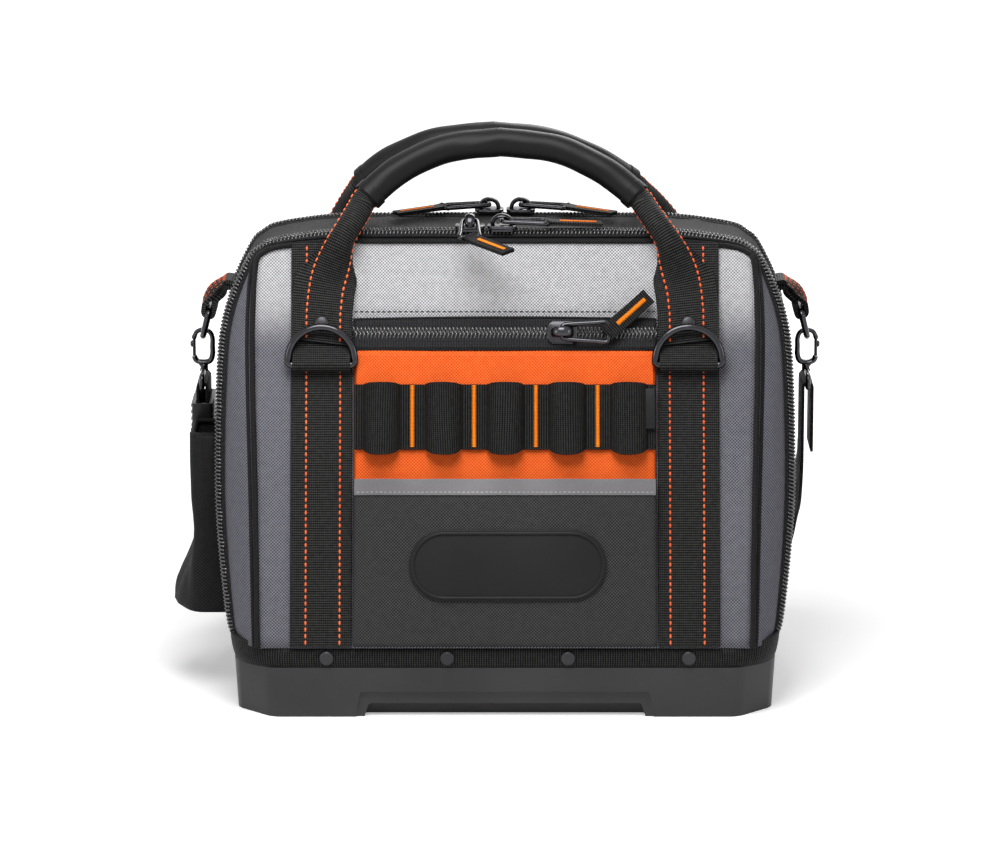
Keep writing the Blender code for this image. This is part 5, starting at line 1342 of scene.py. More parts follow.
sewn_share = path_length(sewn_rows) / path_length(leg_rows)
leg_rows = evenly(leg_rows, 80)
leg_length = path_length(leg_rows)
grip_rows = evenly(handle_rows[GRIP_START:-GRIP_START], 120)
grip_length = path_length(grip_rows)
print(f"grip {grip_length:.3f} m, leg {leg_length:.3f} m")

# %% Shapes of the legs
TUBE_RADIUS = 0.0064
FLAT_TURN = 0.02
FOLD_START, FOLD_END = sewn_share + 0.10, 0.58
LEG_BOW, BOW_START, BOW_END = 0.0050, 0.38, 0.80
SWAY_START = 0.2750


def leg_point(along, a, lift=0.0):
    """A point of the left leg: along its path, and a metres across the strip. Below the grip the
    leg bows forwards, so that the pulls pass behind it."""
    point, across, out = at(leg_rows, along)
    bow = min(max((along - BOW_START) / (BOW_END - BOW_START), 0.0), 1.0)
    point = point + LEG_BOW * math.sin(math.pi * bow) ** 2 * PANEL_OUT
    bend = smoothstep((along - FOLD_START) / (FOLD_END - FOLD_START))
    turn = bend * (WEB / 2) / TUBE_RADIUS
    if turn < FLAT_TURN:
        return point + a * across + lift * out, out
    radius = (WEB / 2) / turn
    middle = radius * math.sin(turn) / turn
    side, ahead = math.sin(a / radius), math.cos(a / radius)
    normal = side * across + ahead * out
    return point + radius * side * across + (radius * ahead - middle) * out + lift * normal, normal


def swayed(point, sway):
    """The soft handle leans a little to one side, from the top of its legs upwards."""
    rise = (point.z - SWAY_START) / (HANDLE_CROWN.z - SWAY_START)
    return point + Vector((sway * smoothstep(rise), 0.0, 0.0))


def leg_seam(line, side, sway):
    rows = [leg_point(k / 80, SEAM_SHIFT + line * SEAM_HALF, 0.0012) for k in range(1, 76)]
    if side > 0:
        rows = [(flipped(point), flipped(normal)) for point, normal in rows]
    return stitches([(swayed(point, sway), normal) for point, normal in rows])


# %% Shapes of the grips
GRIP_RADIUS = 0.0090
GRIP_END, GRIP_END_RUN = 0.80, 0.004
GRIP_RIPPLE, RIPPLE_RUN = 0.0005, 0.010
SEAM_DEPTH, SEAM_WIDTH = 0.0007, 0.0012
CUFF, CUFF_START, CUFF_LIFT, CUFF_THICK, CUFF_EDGE = 0.0060, 0.001, 0.0006, 0.0010, 0.0003


def round_grip(share, angle, radius):
    """A point round the grip, from its inner side, where the cover's seam runs."""
    point, across, out = at(grip_rows, share)
    return point + radius * (math.cos(angle) * -out + math.sin(angle) * across)


def grip_radius(x, y):
    end = min(y, 1 - y) * grip_length
    angle, from_seam = 2 * math.pi * x, min(x, 1 - x) * 2 * math.pi * GRIP_RADIUS
    wave = ripple(at(grip_rows, y)[0].x * 60, math.cos(angle) * 1.2, math.sin(angle) * 1.2, 1.0)
    seam = SEAM_DEPTH * math.exp(-((from_seam / SEAM_WIDTH) ** 2))
    body = GRIP_RADIUS * (GRIP_END + (1 - GRIP_END) * smoothstep(end / GRIP_END_RUN))
    return body + (wave * GRIP_RIPPLE - seam) * smoothstep(end / RIPPLE_RUN)


def tube(cols, rows, place, length, sway):
    """Cloth rolled to a tube round the grip, with its long seam merged."""
    size = (2 * math.pi * GRIP_RADIUS, length)
    bm = cloth(cols, rows, lambda x, y: swayed(place(x, y), sway), size)
    bmesh.ops.remove_doubles(bm, verts=bm.verts, dist=WELD)
    bmesh.ops.recalc_face_normals(bm, faces=bm.faces)
    return bm


# %% Handles
# The front handle leans to the left in the picture, and so does the rear one, further
SWAYS = {"front": -0.0030, "rear": 0.0075}
for prefix, turn in COVERS:
    handle, sway = f"{prefix}_handle", SWAYS[prefix]
    for label, side in SIDES:
        def leg_place(x, y):
            spot = leg_point(y, WEB * (x - 0.5))[0]
            return swayed(spot if side < 0 else flipped(spot), sway)

        bm = cloth(24, 110, leg_place, (WEB, leg_length))
        if side > 0:
            bmesh.ops.reverse_faces(bm, faces=bm.faces)
        stands_for = f"{handle}_webbing" if side < 0 else ""
        leg = piece(f"{handle}_leg_{label}", bm, webbing, None, stands_for, WEB_THICK, 0.0,
                    WEB_EDGE, turn)
        seams = joined(*[leg_seam(line, side, sway) for line in (-1, 1)])
        thread = piece(f"{handle}_thread_{label}", seams, orange_thread, None, turn=turn)
        for made in (leg, thread):
            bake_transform(made)

    bm = tube(40, 120, lambda x, y: round_grip(y, 2 * math.pi * x, grip_radius(x, y)),
              grip_length, sway)
    grip = piece(f"{handle}_grip_cover", closed_up(bm), grip_skin, handle, f"{handle}_grip",
                 turn=turn)
    for label, side in SIDES:
        def cuff_place(x, y):
            share = (y * CUFF + CUFF_START) / grip_length
            share = share if side < 0 else 1 - share
            return round_grip(share, -side * 2 * math.pi * x, GRIP_RADIUS + CUFF_LIFT)

        bm = tube(40, 4, cuff_place, CUFF, sway)
        piece(f"{prefix}_grip_cuff_{label}", bm, grip_skin, handle, "", CUFF_THICK,
              bevel=CUFF_EDGE, turn=turn)
print("handles made")

# %% [markdown]
# ## Sliders and pulls
# A slider is a die-casting: a plate over the coil with a lip down each side, and a crown that
# arches along the zip. The pull is a wire bail through the crown, with a folded tape tab at its
# far end that is tacked with orange thread. Each is drawn lying flat at the origin and then
# stood on its zip.

# %% Slider
PLATE = Vector((0.0184, 0.0130, 0.0018))
PLATE_CORNER, PLATE_EDGE, LIP_EDGE = 0.0036, 0.0005, 0.0003
LIP_SHARE, LIP_HALF, LIP_LOW, LIP_TOP = 0.72, 0.0006, 0.0034, 0.0008
CROWN_LIFT, CROWN_TOP, CROWN_REACH, CROWN_SINK = 0.0026, 0.0041, 0.0060, 0.0006
CROWN_WIRE, CROWN_WIDTH, CROWN_ROUND = 0.0014, 2.2, 0.8


def slider_mesh(crown_turn):
    top, half = -CROWN_LIFT, PLATE / 2
    low, high = (-half.x, -half.y, top - PLATE.z), (half.x, half.y, top)
    parts = [box(low, high, PLATE_CORNER, 5, PLATE_EDGE)]
    for side in (-1, 1):
        low = (-half.x * LIP_SHARE, side * half.y - LIP_HALF, top - LIP_LOW)
        high = (half.x * LIP_SHARE, side * half.y + LIP_HALF, top - LIP_TOP)
        parts.append(box(low, high, soften=LIP_EDGE))
    arch = []
    for k in range(17):
        angle = math.pi * k / 16
        rise = (CROWN_TOP - top - 0.0004) * math.sin(angle) ** CROWN_ROUND
        arch.append((CROWN_REACH * math.cos(angle), 0.0, top - CROWN_SINK + rise))
    band = wire(arch, CROWN_WIRE, resolution=3)
    turn = Matrix.Rotation(crown_turn, 4, "Z") @ Matrix.Diagonal((1.0, CROWN_WIDTH, 1.0, 1.0))
    bmesh.ops.transform(band, matrix=turn, verts=band.verts)
    return joined(*parts, band)


# %% Pull
BAIL_LENGTH, BAIL_NEAR, BAIL_FAR, BAIL_WIRE = 0.0285, 0.0046, 0.0062, 0.00140
BAIL_HALF = (
    (0.0, BAIL_NEAR * 0.5), (0.0012, BAIL_NEAR * 0.95), (BAIL_LENGTH * 0.33, BAIL_NEAR + 0.0006),
    (BAIL_LENGTH * 0.66, BAIL_NEAR + 0.0011), (BAIL_LENGTH - 0.0014, BAIL_FAR),
    (BAIL_LENGTH, BAIL_FAR * 0.6),
)
TAB_LENGTH, TAB_WIDTH, TAB_THICK, TAB_EDGE = 0.0340, 0.0105, 0.0011, 0.0003
TAB_FOLD = ((TAB_LENGTH, 0.0006), (0.004, 0.0007), (0.0, 0.0016), (-0.0017, 0.0009))
FOLD_TIP = (-0.0020, 0.0)
TAB_TACK, TACK_LIFT, TAB_TACK_WIDTH = (TAB_LENGTH * 0.22, TAB_LENGTH * 0.90), 0.0013, 0.0036


def pull_meshes(tab_turn):
    """The bail, the tab and the tab's thread, lying along +X from the crown at the origin."""
    other = [(x, -y) for x, y in BAIL_HALF]
    line = [other[0], (0.0, 0.0), *BAIL_HALF, (BAIL_LENGTH, 0.0), *other[:0:-1]]
    line = smooth_path([(x, y, 0.0) for x, y in line], 4, closed=True)
    bail = wire(line, BAIL_WIRE, closed=True, resolution=3)
    fold = [(x, 0.0, -z) for x, z in (*TAB_FOLD, FOLD_TIP)]
    fold += [(x, 0.0, z) for x, z in TAB_FOLD[::-1]]
    rows = evenly(points_only(smooth_path(fold, 4)), 60)

    def place(x, y):
        spot = at(rows, y)[0]
        return Vector((spot.x, TAB_WIDTH * (0.5 - x), spot.z))

    tab = cloth(6, 60, place, (TAB_WIDTH, path_length(rows)))
    tacks = []
    for face in (1, -1):
        start, end = ((x, 0.0, face * TACK_LIFT) for x in TAB_TACK)
        tacks.append(bartack(start, end, (0.0, 0.0, face), TAB_TACK_WIDTH))
    thread = joined(*tacks)
    lay = Matrix.Translation((BAIL_LENGTH, 0.0, 0.0)) @ Matrix.Rotation(tab_turn, 4, "Z")
    for bm in (tab, thread):
        bmesh.ops.transform(bm, matrix=lay, verts=bm.verts)
    return bail, tab, thread


# %% Place the sliders
# Each row is a label, the slider's body and node, the pull's body and node, the stand on the
# zip, and in degrees: the crown's turn, the pull's turn and droop, and the tab's turn
SEAT = 0.0018 + GAP + 0.0018 + CROWN_LIFT
small_seat = mouth_out(0.0, COIL_UP) + 0.0014 + 2 * GAP + 0.0018 + CROWN_LIFT
POCKET_SLIDER_X = 0.0355
SLIDERS = [("pocket", "slider_pocket", "pocket_slider", "pull_pocket", "pocket_pull",
            mounted(POCKET_SLIDER_X, COIL_UP, small_seat) @ FACE_FRONT, 0, 0, 3, 42)]
for label, short, x, turn, *angles in (
    ("front_left", "fl", -0.0218, STAY, -90, -90, 11, 45),
    ("front_right", "fr", -0.0018, STAY, 0, 4.5, 2.8, 0),
    ("rear_left", "rl", 0.0100, HALF_TURN, 0, 4.5, 2.8, 22),
    ("rear_right", "rr", -0.0100, HALF_TURN, 0, 175.5, 2.8, -22),
):
    stand = turn @ Matrix.Translation((x, ZIP_TOP.y, ZIP_TOP.z + SEAT))
    SLIDERS.append((label, f"slider_{short}", f"slider_{label}", f"pull_{short}",
                    f"pull_{label}", stand, *angles))
for label, slider, slider_node, pull, pull_node, stand, *angles in SLIDERS:
    crown_turn, pull_turn, droop, tab_turn = (math.radians(angle) for angle in angles)
    bm = slider_mesh(crown_turn)
    piece(f"{label}_slider_body", bm, black_nickel, slider, slider_node, turn=stand)
    bail, tab, thread = pull_meshes(tab_turn)
    lay = stand @ Matrix.Rotation(pull_turn, 4, "Z") @ Matrix.Rotation(droop, 4, "Y")
    piece(f"{label}_bail", bail, black_nickel, pull, pull_node, turn=lay)
    piece(f"{label}_tab", tab, elastic, pull, "", TAB_THICK, 0.0, TAB_EDGE, lay)
    piece(f"{label}_tab_thread", thread, tack_thread, pull, turn=lay)
print("sliders", len(SLIDERS))

# %% [markdown]
# ## Side fittings
# On each side a tab of webbing holds a ring, and a swivel hook hangs from the ring with the
# shoulder strap in its eye. Hook, swivel and eye are round stock, so they are wires too.

# %% Side tabs and rings
RING_Y = 0.0140
BAR_X, BAR_Z = 0.1868, 0.2318
RING_LEAN = math.radians(14)
SIDE_HALF, SIDE_HEIGHT, SIDE_BEND, SIDE_WIRE = 0.0150, 0.0186, 0.0028, 0.0020
TAB_HALF_Y, TAB_CLOTH, TAB_CLOTH_EDGE = 0.0120, 0.0028, 0.0004
TAB_TOP, TAB_UNDER, TAB_SUNK = 0.2500, 0.2470, 0.0006
TAB_ABOVE = ((0.1765, 0.2506), (0.1850, 0.2462), (0.1892, 0.2395))
TAB_BELOW = ((0.1832, 0.2335), (0.1842, 0.2378), (0.1826, 0.2426), (0.1768, 0.2466))
CURL, CURL_X, CURL_Z, CURL_RUN = 0.0055, 0.1750, 0.2350, 0.008
TAB_ROWS, TAB_FIRST, TAB_PITCH = 8, 0.04, 0.13
inner_side = [p + (ZIP_TAPE + GAP) * back for p, back, out in spine_rows if p.x < 0]
skin_table = [(-p.x, p.z) for p in inner_side]
tab_arc = around(BAR_X, BAR_Z, SIDE_WIRE + GAP + TAB_CLOTH / 2, range(20, -131, -30))
tab_ends = [(look_up(skin_table, z) + TAB_SUNK, z) for z in (TAB_TOP, TAB_UNDER)]
tab_line = [tab_ends[0], *TAB_ABOVE, *tab_arc, *TAB_BELOW, tab_ends[1]]
tab_line = smooth_path([(x, 0.0, z) for x, z in tab_line], 6)
tab_line = [row[0] for row in evenly(points_only(tab_line), 60)]
tab_rows = list(zip(tab_line, runs(tab_line)))


def tab_point(side, share, x, lift=0.0):
    """A point of a side tab, whose edges curl in towards the bag above the ring."""
    spot, run = at(tab_rows, share)
    out = Vector((-run.z, 0.0, run.x)).normalized()
    free = smoothstep((spot.z - CURL_Z) / CURL_RUN) * smoothstep((spot.x - CURL_X) / CURL_RUN)
    spot = spot + lift * out - Vector((CURL * (2 * x - 1) ** 2 * free, 0.0, 0.0))
    y = RING_Y + side * TAB_HALF_Y * (2 * x - 1)
    return Vector((side * spot.x, y, spot.z)), Vector((side * out.x, 0.0, out.z))


def tab_seam(side, x):
    rows = [tab_point(side, k / 40, x, TAB_CLOTH / 2) for k in range(3, 17)]
    return stitches(rows, TAB_SEAM)


for label, side in SIDES:
    bm = cloth(12, 60, lambda x, y: tab_point(side, 1 - y, x)[0],
               (2 * TAB_HALF_Y, path_length(tab_rows)))
    piece(f"side_loop_{label}", bm, webbing, "main", f"side_tab_{label}", TAB_CLOTH, 0.0,
          TAB_CLOTH_EDGE)
    threads = [tab_seam(side, TAB_FIRST + TAB_PITCH * k) for k in range(TAB_ROWS)]
    piece(f"side_loop_thread_{label}", joined(*threads), orange_thread, "main")
    bm = wire(d_path(SIDE_HALF, SIDE_HEIGHT, SIDE_BEND), SIDE_WIRE, closed=True, resolution=4)
    lean = Matrix.Rotation(side * (math.pi - RING_LEAN), 4, "Y")
    lie = Matrix.Translation((side * BAR_X, RING_Y, BAR_Z)) @ lean
    piece(f"side_d_ring_{label}", bm, black_nickel, "main", f"side_ring_{label}",
          turn=lie @ Matrix.Rotation(math.pi / 2, 4, "Z"))
print("side rings made")

# %% Hooks
HOOK_LIMB, HOOK_REACH, HOOK_HEIGHT = 0.0028, 0.0058, 0.0240
HOOK_WIRE, HOOK_FLAT, HOOK_SWELL = 0.00145, 1.7, 0.25
NECK_RADIUS, NECK_RISE, NECK_SINK = 0.0030, 0.0016, 0.0006
SWIVEL_WIRE = 0.0022
EYE_HALF, EYE_RISE, EYE_WIRE, EYE_BELOW = 0.0215, 0.0075, 0.0016, 0.0034
# Each point of the eye is a share of its half width and a height over its lower side
EYE_SHAPE = (
    (0.5, 0.0), (0.9, 0.0), (1.0, 0.0018), (1.0, 0.0055), (0.88, 0.0074), (0.45, EYE_RISE),
)
bow_x = BAR_X + SIDE_HEIGHT * math.sin(RING_LEAN)
bow_z = BAR_Z - SIDE_HEIGHT * math.cos(RING_LEAN)
hook_top = bow_z + SIDE_WIRE + 2 * GAP + HOOK_LIMB
hook_low = hook_top - HOOK_HEIGHT
eye_z = hook_low - EYE_BELOW - EYE_RISE
GATE_LENGTH, GATE_WIRE, GATE_FLAT = 0.0105, 0.0011, 1.9
KNOB_RADIUS, KNOB_RISE, KNOB_UP, KNOB_OUT = 0.0021, 0.0016, 0.0075, 0.0009
gate_z = hook_top - HOOK_LIMB - 2 * (SIDE_WIRE + 0.0004) - GATE_LENGTH
HOOK_LINE = (
    (0.98, gate_z + 0.0125), (1.0, hook_top - 0.0068), (0.72, hook_top - 0.0030),
    (0.0, hook_top - 0.0014), (-0.72, hook_top - 0.0030), (-1.0, hook_top - 0.0068),
    (-1.0, hook_top - 0.0120), (-1.0, hook_low + 0.0070), (-0.75, hook_low + 0.0026),
    (0.0, hook_low + 0.0014), (0.75, hook_low + 0.0026), (1.0, gate_z - 0.0004),
)
SWIVEL_LINE = ((eye_z + 0.0070, 1.25), (eye_z + 0.0085, 0.9), (hook_low, 1.1),
               (hook_low + 0.0018, 0.8))


def widened(bm, share):
    """Flat stock: a round wire made wider along Y."""
    bmesh.ops.scale(bm, verts=bm.verts, vec=(1.0, share, 1.0))
    return bm


def hook_meshes():
    line = smooth_path([(HOOK_REACH * x, 0.0, z) for x, z in HOOK_LINE], 5)
    shares = [abs(k / (len(line) - 1) - 0.25) / 0.5 for k in range(len(line))]
    swell = [1.0 + HOOK_SWELL * smoothstep(share) for share in shares]
    limb = widened(wire(line, HOOK_WIRE, resolution=4, radii=swell), HOOK_FLAT)
    neck = dome(NECK_RADIUS, NECK_RISE)
    bmesh.ops.translate(neck, verts=neck.verts, vec=(0.0, 0.0, hook_low - NECK_SINK))
    heights, radii = zip(*SWIVEL_LINE)
    swivel = wire([(0.0, 0.0, z) for z in heights], SWIVEL_WIRE, resolution=4, radii=radii)
    other = [(-y, z) for y, z in EYE_SHAPE]
    ring = [*other[1::-1], (0.0, 0.0), *EYE_SHAPE, (0.0, EYE_RISE), *other[:1:-1]]
    ring = [(0.0, EYE_HALF * y, eye_z + z) for y, z in ring]
    eye = wire(smooth_path(ring, 4, closed=True), EYE_WIRE, closed=True, resolution=3)
    return joined(limb, neck, swivel, eye)


def gate_meshes():
    line = [(HOOK_REACH, 0.0, gate_z + k * GATE_LENGTH / 8) for k in range(9)]
    bar = wire(line, GATE_WIRE, resolution=3, radii=[1.0] * 8 + [0.9])
    knob = dome(KNOB_RADIUS, KNOB_RISE)
    stand = Matrix.Translation((HOOK_REACH + KNOB_OUT, 0.0, gate_z + KNOB_UP))
    stand = stand @ Matrix.Rotation(math.pi / 2, 4, "Y")
    bmesh.ops.transform(knob, matrix=stand, verts=knob.verts)
    return joined(widened(bar, GATE_FLAT), knob)


for label, side in SIDES:
    stand = Matrix.Translation((side * bow_x, RING_Y, 0.0)) @ Matrix.Diagonal((side, side, 1, 1))
    piece(f"hook_{label}", hook_meshes(), black_nickel, "main", f"snap_hook_{label}", turn=stand)
    piece(f"gate_{label}_bar", gate_meshes(), black_nickel, f"gate_{label}",
          f"hook_gate_{label}", turn=stand)
print("hooks made")

# %% [markdown]
# ## Side pocket
# A narrow pocket on the left side holds a long tool. Its mouth is bound with tape, and its foot
# stands away from the bag. The cloth is one strip round three sides, lofted between its mouth
# and its foot.

# %% Side pocket
SP_FRONT, SP_REAR, SP_CORNER = -0.0500, -0.0100, 0.0045
SP_TOP, SP_FOOT, SP_CLOTH = 0.1640, 0.0500, 0.0018
SP_OUT, SP_SPREAD, SP_FLARE = 0.1950, 0.0010, 0.0125
FLARE_TOP, FLARE_RUN = 0.0980, 0.044
SP_CREASE, SP_SINK = 0.0011, 0.0022
SP_BINDING, SP_SEAM_DROP, SP_SEAM_OUT = 0.0016, 0.0060, 0.0004
LEFT = Vector((-1.0, 0.0, 0.0))


def side_pocket_row(z):
    """The pocket's section at a height, from its front edge round to its rear one."""
    inner, r = look_up(skin_table, z) + TAB_SUNK, SP_CORNER
    near = SP_OUT + SP_SPREAD * (SP_TOP - z) / (SP_TOP - SP_FOOT)
    outer = near + SP_FLARE * smoothstep((FLARE_TOP - z) / FLARE_RUN)
    line = (
        (inner, SP_FRONT), ((inner + near) / 2, SP_FRONT), (near - r, SP_FRONT),
        (near - r * 0.3, SP_FRONT + r * 0.3), (near * 0.9 + outer * 0.1, SP_FRONT + r),
        (near * 0.3 + outer * 0.7, (SP_FRONT + SP_REAR) / 2), (outer, SP_REAR - r),
        (outer - r * 0.3, SP_REAR - r * 0.3), (outer - r, SP_REAR),
        ((inner + outer) / 2, SP_REAR), (inner, SP_REAR),
    )
    return evenly(points_only((-x, y, z) for x, y in line), 60)


def side_pocket_place(x, y):
    z = SP_FOOT + (SP_TOP - SP_FOOT) * y
    crease = ripple(x * 9, z * 45, 2.0, SP_CREASE) * smoothstep(min(x, 1 - x) * 5)
    sink = SP_SINK * math.sin(math.pi * y) * math.sin(math.pi * x) ** 2
    return at(side_pocket_row(z), x)[0] + LEFT * (crease - sink)


def side_floor_place(x, y):
    row = side_pocket_row(SP_FOOT)
    return at(row, y * 0.5)[0].lerp(at(row, 1 - y * 0.5)[0], x)


bm = cloth(44, 44, side_pocket_place, (0.080, SP_TOP - SP_FOOT))
piece("side_pocket_cloth", bm, black_cloth, "main", "side_pocket", SP_CLOTH)
bm = cloth(10, 10, side_floor_place, (0.04, 0.03))
piece("side_pocket_floor", bm, black_cloth, "main", "", SP_CLOTH, 1.0)
mouth = [row[0] for row in side_pocket_row(SP_TOP)]
piece("side_pocket_binding", wire(mouth, SP_BINDING), piping_tape, "main")
drop = Vector((-SP_SEAM_OUT, 0.0, -SP_SEAM_DROP))
thread = stitches([(point + drop, LEFT) for point in mouth[18:44]], POCKET_SEAM)
piece("side_pocket_thread", thread, black_thread, "main")
print("side pocket made")

# %% [markdown]
# ## Shoulder strap
# The strap is flat webbing, adjusted short: each end passes up through the eye of its hook and
# comes down again, and the middle lies on the floor behind the bag with its pad. Its route is
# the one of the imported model, drawn finer. The strap is 0.88 m long. Where it falls, it turns
# from facing sideways to lying flat.

# %% Strap route
STRAP_THICK, STRAP_EDGE, STRAP_FLOOR = 0.0018, 0.0004, 0.0045
LOOP_RADIUS = 0.0029
PAD_Y, PAD_HALF = 0.1560, 0.0900
ADJUST_TOP, ADJUST_HEIGHT, TAIL = 0.1745, 0.0240, 0.0080
FALL_SHARES = (
    (0.000, 0.042, 0.091), (-0.003, 0.141, 0.192), (0.009, 0.282, 0.293), (0.042, 0.437, 0.460),
    (0.123, 0.592, 0.634), (0.269, 0.739, 0.793), (0.488, 0.866, 0.924), (0.751, 0.958, 0.989),
)
FALL_TURNS = [0.3, 0.7, 1.0, 1.0, 0.9, 0.7, 0.4, 0.15]
adjust_low = ADJUST_TOP - ADJUST_HEIGHT
down = [(LOOP_RADIUS, adjust_low - TAIL), (LOOP_RADIUS, ADJUST_TOP)]
turn_back = around(0.0, eye_z, LOOP_RADIUS, (0, 45, 90, 135, 180))
loop = down + turn_back + [(-x, z) for x, z in down[::-1]]
loop = [Vector((bow_x + x, RING_Y, z)) for x, z in loop]
floor_line = [Vector((PAD_HALF * k / 3, PAD_Y, STRAP_FLOOR)) for k in (4, 3, 2, 1)]
way = floor_line[0] - loop[-1]
fall = [loop[-1] + way * Vector(shares) for shares in FALL_SHARES]
route = loop + fall + floor_line
turns = [0.0] * len(loop) + FALL_TURNS + [0.0] * len(floor_line)
route = [flipped(p) for p in route] + [Vector((0.0, PAD_Y, STRAP_FLOOR))] + route[::-1]
turns = turns + [0.0] + turns[::-1]
strap_rows = []
for point, run, twist in zip(route, runs(route), turns):
    level = square_to(BACK, run)
    slope = Vector((0.0, abs(run.z), abs(run.y)))
    steep = square_to(slope.normalized() if slope.length > WELD else level, run)
    strap_rows.append((point, (level * (1 - twist) + steep * twist).normalized()))
print("strap points", len(strap_rows))

# %% Strap cloth
# The ends of the strap stay straight, up to the eye and down from it
last = len(strap_rows) - 1
STRAIGHT = {0, 1, 6, 7, last - 8, last - 7, last - 2, last - 1}
fine = []
for k, (p1, p2) in enumerate(zip(strap_rows, strap_rows[1:])):
    p0, p3 = strap_rows[max(k - 1, 0)], strap_rows[min(k + 2, last)]
    for t in (j / 8 for j in range(8)):
        curved = glide(p0[0], p1[0], p2[0], p3[0], t)
        spot = p1[0].lerp(p2[0], t) if k in STRAIGHT else curved
        fine.append((spot, p1[1].lerp(p2[1], t).normalized()))
fine.append(strap_rows[-1])
strap_length = path_length(fine)
fine = evenly(fine, 420)


def shoulder_place(x, y):
    point, across = at(fine, y)
    return point + WEB * (x - 0.5) * across.normalized()


bm = cloth(6, 420, shoulder_place, (WEB, strap_length))
piece("shoulder_webbing", bm, webbing, "main", "shoulder_strap", STRAP_THICK, 0.0, STRAP_EDGE)
print(f"shoulder strap {strap_length:.3f} m")

# %% [markdown]
# The adjuster is a moulded frame with a slot through it from top to bottom. A block is inset at
# both ends, the inset faces are bridged, and ridges across its face give the fingers a hold.

# %% Adjuster
ADJUST_ROOM, ADJUST_WALL, ADJUST_CORNER, ADJUST_EDGE = 0.0005, 0.0022, 0.0020, 0.0007
RIDGES, RIDGE_FIRST, RIDGE_PITCH, RIDGE_HEIGHT = 5, 0.0035, 0.0042, 0.0020
RIDGE_OUT, RIDGE_IN, RIDGE_SHARE, RIDGE_EDGE = 0.0009, 0.0004, 0.8, 0.0003
x = LOOP_RADIUS + STRAP_THICK / 2 + ADJUST_ROOM + ADJUST_WALL
y = WEB / 2 + ADJUST_ROOM
stand = Matrix.Translation((-bow_x, RING_Y, 0.0))
bm = box((-x, -y - ADJUST_WALL, adjust_low), (x, y + ADJUST_WALL, ADJUST_TOP), ADJUST_CORNER, 4)
by_height = sorted(bm.faces, key=lambda f: f.calc_center_median().z)
caps = [inset(bm, face, ADJUST_WALL) for face in (by_height[0], by_height[-1])]
bmesh.ops.bridge_loops(bm, edges=[e for face in caps for e in face.edges])
bmesh.ops.delete(bm, geom=caps, context="FACES_ONLY")
bmesh.ops.recalc_face_normals(bm, faces=bm.faces)
piece("adjuster_frame", bm, fitting_plastic, "adjuster", "strap_adjuster", bevel=ADJUST_EDGE,
      turn=stand)
ridges = []
for k in range(RIDGES):
    low = adjust_low + RIDGE_FIRST + k * RIDGE_PITCH
    half = y * RIDGE_SHARE
    ridges.append(box((-x - RIDGE_OUT, -half, low), (-x + RIDGE_IN, half, low + RIDGE_HEIGHT),
                      soften=RIDGE_EDGE))
piece("adjuster_ridges", joined(*ridges), fitting_plastic, "adjuster", turn=stand)
print("adjuster made")

# %% [markdown]
# ## Shoulder pad
# The pad is two layers of cloth round a sheet of foam, so it is fullest in the middle and pulled
# in at its seam. It starts as a thin slab, and the cloth simulation blows it up a little. How far
# a point may move is capped, so that it stays round the strap.

# %% Pad
PAD = Vector((0.180, 0.060, 0.0095))
PAD_SKIN, PAD_CORNER, PAD_EDGE = 0.0012, 0.016, 0.0020
PAD_VOXEL, PAD_PRESSURE, PAD_FRAMES, PAD_CAP = 0.0040, 4.0, 20, 0.0016
PAD_LOWEST = 0.0003
low = (-PAD.x / 2, -PAD.y / 2, PAD_SKIN)
high = (PAD.x / 2, PAD.y / 2, PAD.z - PAD_SKIN)
bm = box(low, high, PAD_CORNER, 8, PAD_EDGE)
bmesh.ops.translate(bm, verts=bm.verts, vec=(0.0, PAD_Y, 0.0))
pad = piece("pad_cushion", bm, dark_cloth, "pad", "shoulder_pad")
remesh = pad.modifiers.new("even_mesh", "REMESH")
remesh.mode = "VOXEL"
remesh.voxel_size = PAD_VOXEL
baked(pad)
rest = [vert.co.copy() for vert in pad.data.vertices]
blow = pad.modifiers.new("blow_up", "CLOTH")
blow.settings.use_pressure = True
blow.settings.uniform_pressure_force = PAD_PRESSURE
blow.settings.effector_weights.gravity = 0.0
for number in range(1, PAD_FRAMES + 1):
    scene.frame_set(number)
graph = bpy.context.evaluated_depsgraph_get()
swollen = [vert.co.copy() for vert in pad.evaluated_get(graph).data.vertices]
pad.modifiers.clear()
scene.frame_set(1)
for vert, start, end in zip(pad.data.vertices, rest, swollen):
    move = end - start
    vert.co = start + move * min(PAD_CAP / max(move.length, 1e-9), 1.0)
    vert.co.z = max(vert.co.z, PAD_LOWEST)
pad.data.shade_smooth()
soft = pad.modifiers.new("soft", "SUBSURF")
soft.levels = soft.render_levels = 1
print("pad points", len(pad.data.vertices))

# %% Piping of the pad
SEAM_IN, SEAM_CORNER, PAD_PIPING = 0.0010, 0.014, 0.0015
x, y = PAD.x / 2 - SEAM_IN, PAD.y / 2 - SEAM_IN
short_x, short_y = PAD.x / 2 - SEAM_CORNER, PAD.y / 2 - SEAM_CORNER
quarter = [(x, 0.0), (x, short_y), (short_x, y), (0.0, y)]
ring = quarter + [(-x, y) for x, y in quarter[-2::-1]]
ring += [(x, -y) for x, y in ring[-2:0:-1]]
ring = [(x, PAD_Y + y, PAD.z / 2) for x, y in ring]
bm = wire(smooth_path(ring, 8, closed=True), PAD_PIPING, closed=True)
piece("pad_piping", bm, piping_tape, "pad")
print("pad piping made")

# %% [markdown]
# ## Inside
# A stiff divider stands under the spine with elastic pockets on both faces, and a board lies in
# the tray. They show when a cover is folded down.

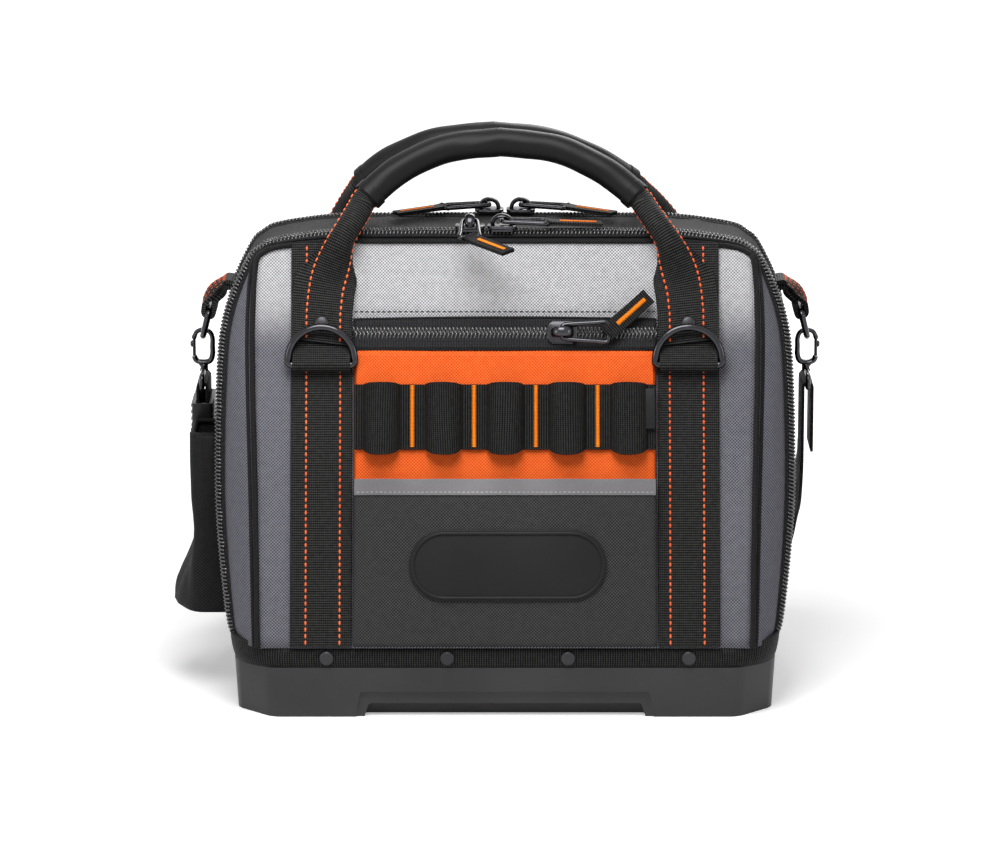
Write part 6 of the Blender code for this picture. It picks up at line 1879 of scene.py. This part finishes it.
# %% Divider
DIVIDER_HALF, DIVIDER_TOP, DIVIDER_EDGE = 0.0020, 0.2830, 0.0008
BOARD_TOP = 0.0151
SHY_X, SHY_Z = 0.0080, 0.0060
EDGE_LOW, EDGE_HIGH, EDGE_WIRE = 0.050, 0.2825, 0.0027
under_arch = [p for p in zip_arch if p.x < -SHY_X and p.z > TRAY_TOP_Z]
divider_table = [(-p.x - SHY_X, p.z - SHY_Z) for p in under_arch]


def divider_place(x, y):
    z = BOARD_TOP + (DIVIDER_TOP - BOARD_TOP) * (1 - (1 - y) ** CROWDING)
    return Vector((look_up(divider_table, z) * (2 * x - 1), -DIVIDER_HALF, z))


bm = cloth(40, 60, divider_place, (0.35, 0.27))
piece("divider_board", bm, liner, "main", "center_divider", 2 * DIVIDER_HALF,
      bevel=DIVIDER_EDGE)
heights = [EDGE_LOW + (EDGE_HIGH - EDGE_LOW) * k / 39 for k in range(40)]
edge_line = [Vector((-look_up(divider_table, z), 0.0, z)) for z in heights]
edge_line += [flipped(p) for p in edge_line[::-1]]
piece("divider_binding", wire(edge_line, EDGE_WIRE), piping_tape, "main")
print("divider made")

# %% Divider pockets and board
INNER_PITCH, INNER_HALF, INNER_DEPTH, INNER_REACH = 0.0960, 0.0420, 0.0202, 0.144
INNER_HEIGHT, INNER_LIFT, INNER_CLOTH, INNER_EDGE = 0.1198, 0.0021, 0.0016, 0.0003
INNER_FOOT = 0.35
inner_rows = bulge_rows(
    INNER_REACH, 400, 200, INNER_PITCH, INNER_HALF, INNER_DEPTH, 2.2, 1)


def inner_place(x, y):
    spot = at(inner_rows, x)[0]
    foot = INNER_FOOT + (1 - INNER_FOOT) * smoothstep(y * 3)
    out = DIVIDER_HALF + INNER_LIFT + spot.y * foot
    return Vector((spot.x, -out, BOARD_TOP + GAP + INNER_HEIGHT * y))


for label, turn in COVERS:
    bm = cloth(200, 16, inner_place, (path_length(inner_rows), 0.12), along_x=True)
    piece(f"divider_pocket_{label}", bm, elastic, "main", f"divider_pockets_{label}",
          INNER_CLOTH, bevel=INNER_EDGE, turn=turn)
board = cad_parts["base_board"].data.materials
for k in range(len(board)):
    board[k] = liner
print("inside made")
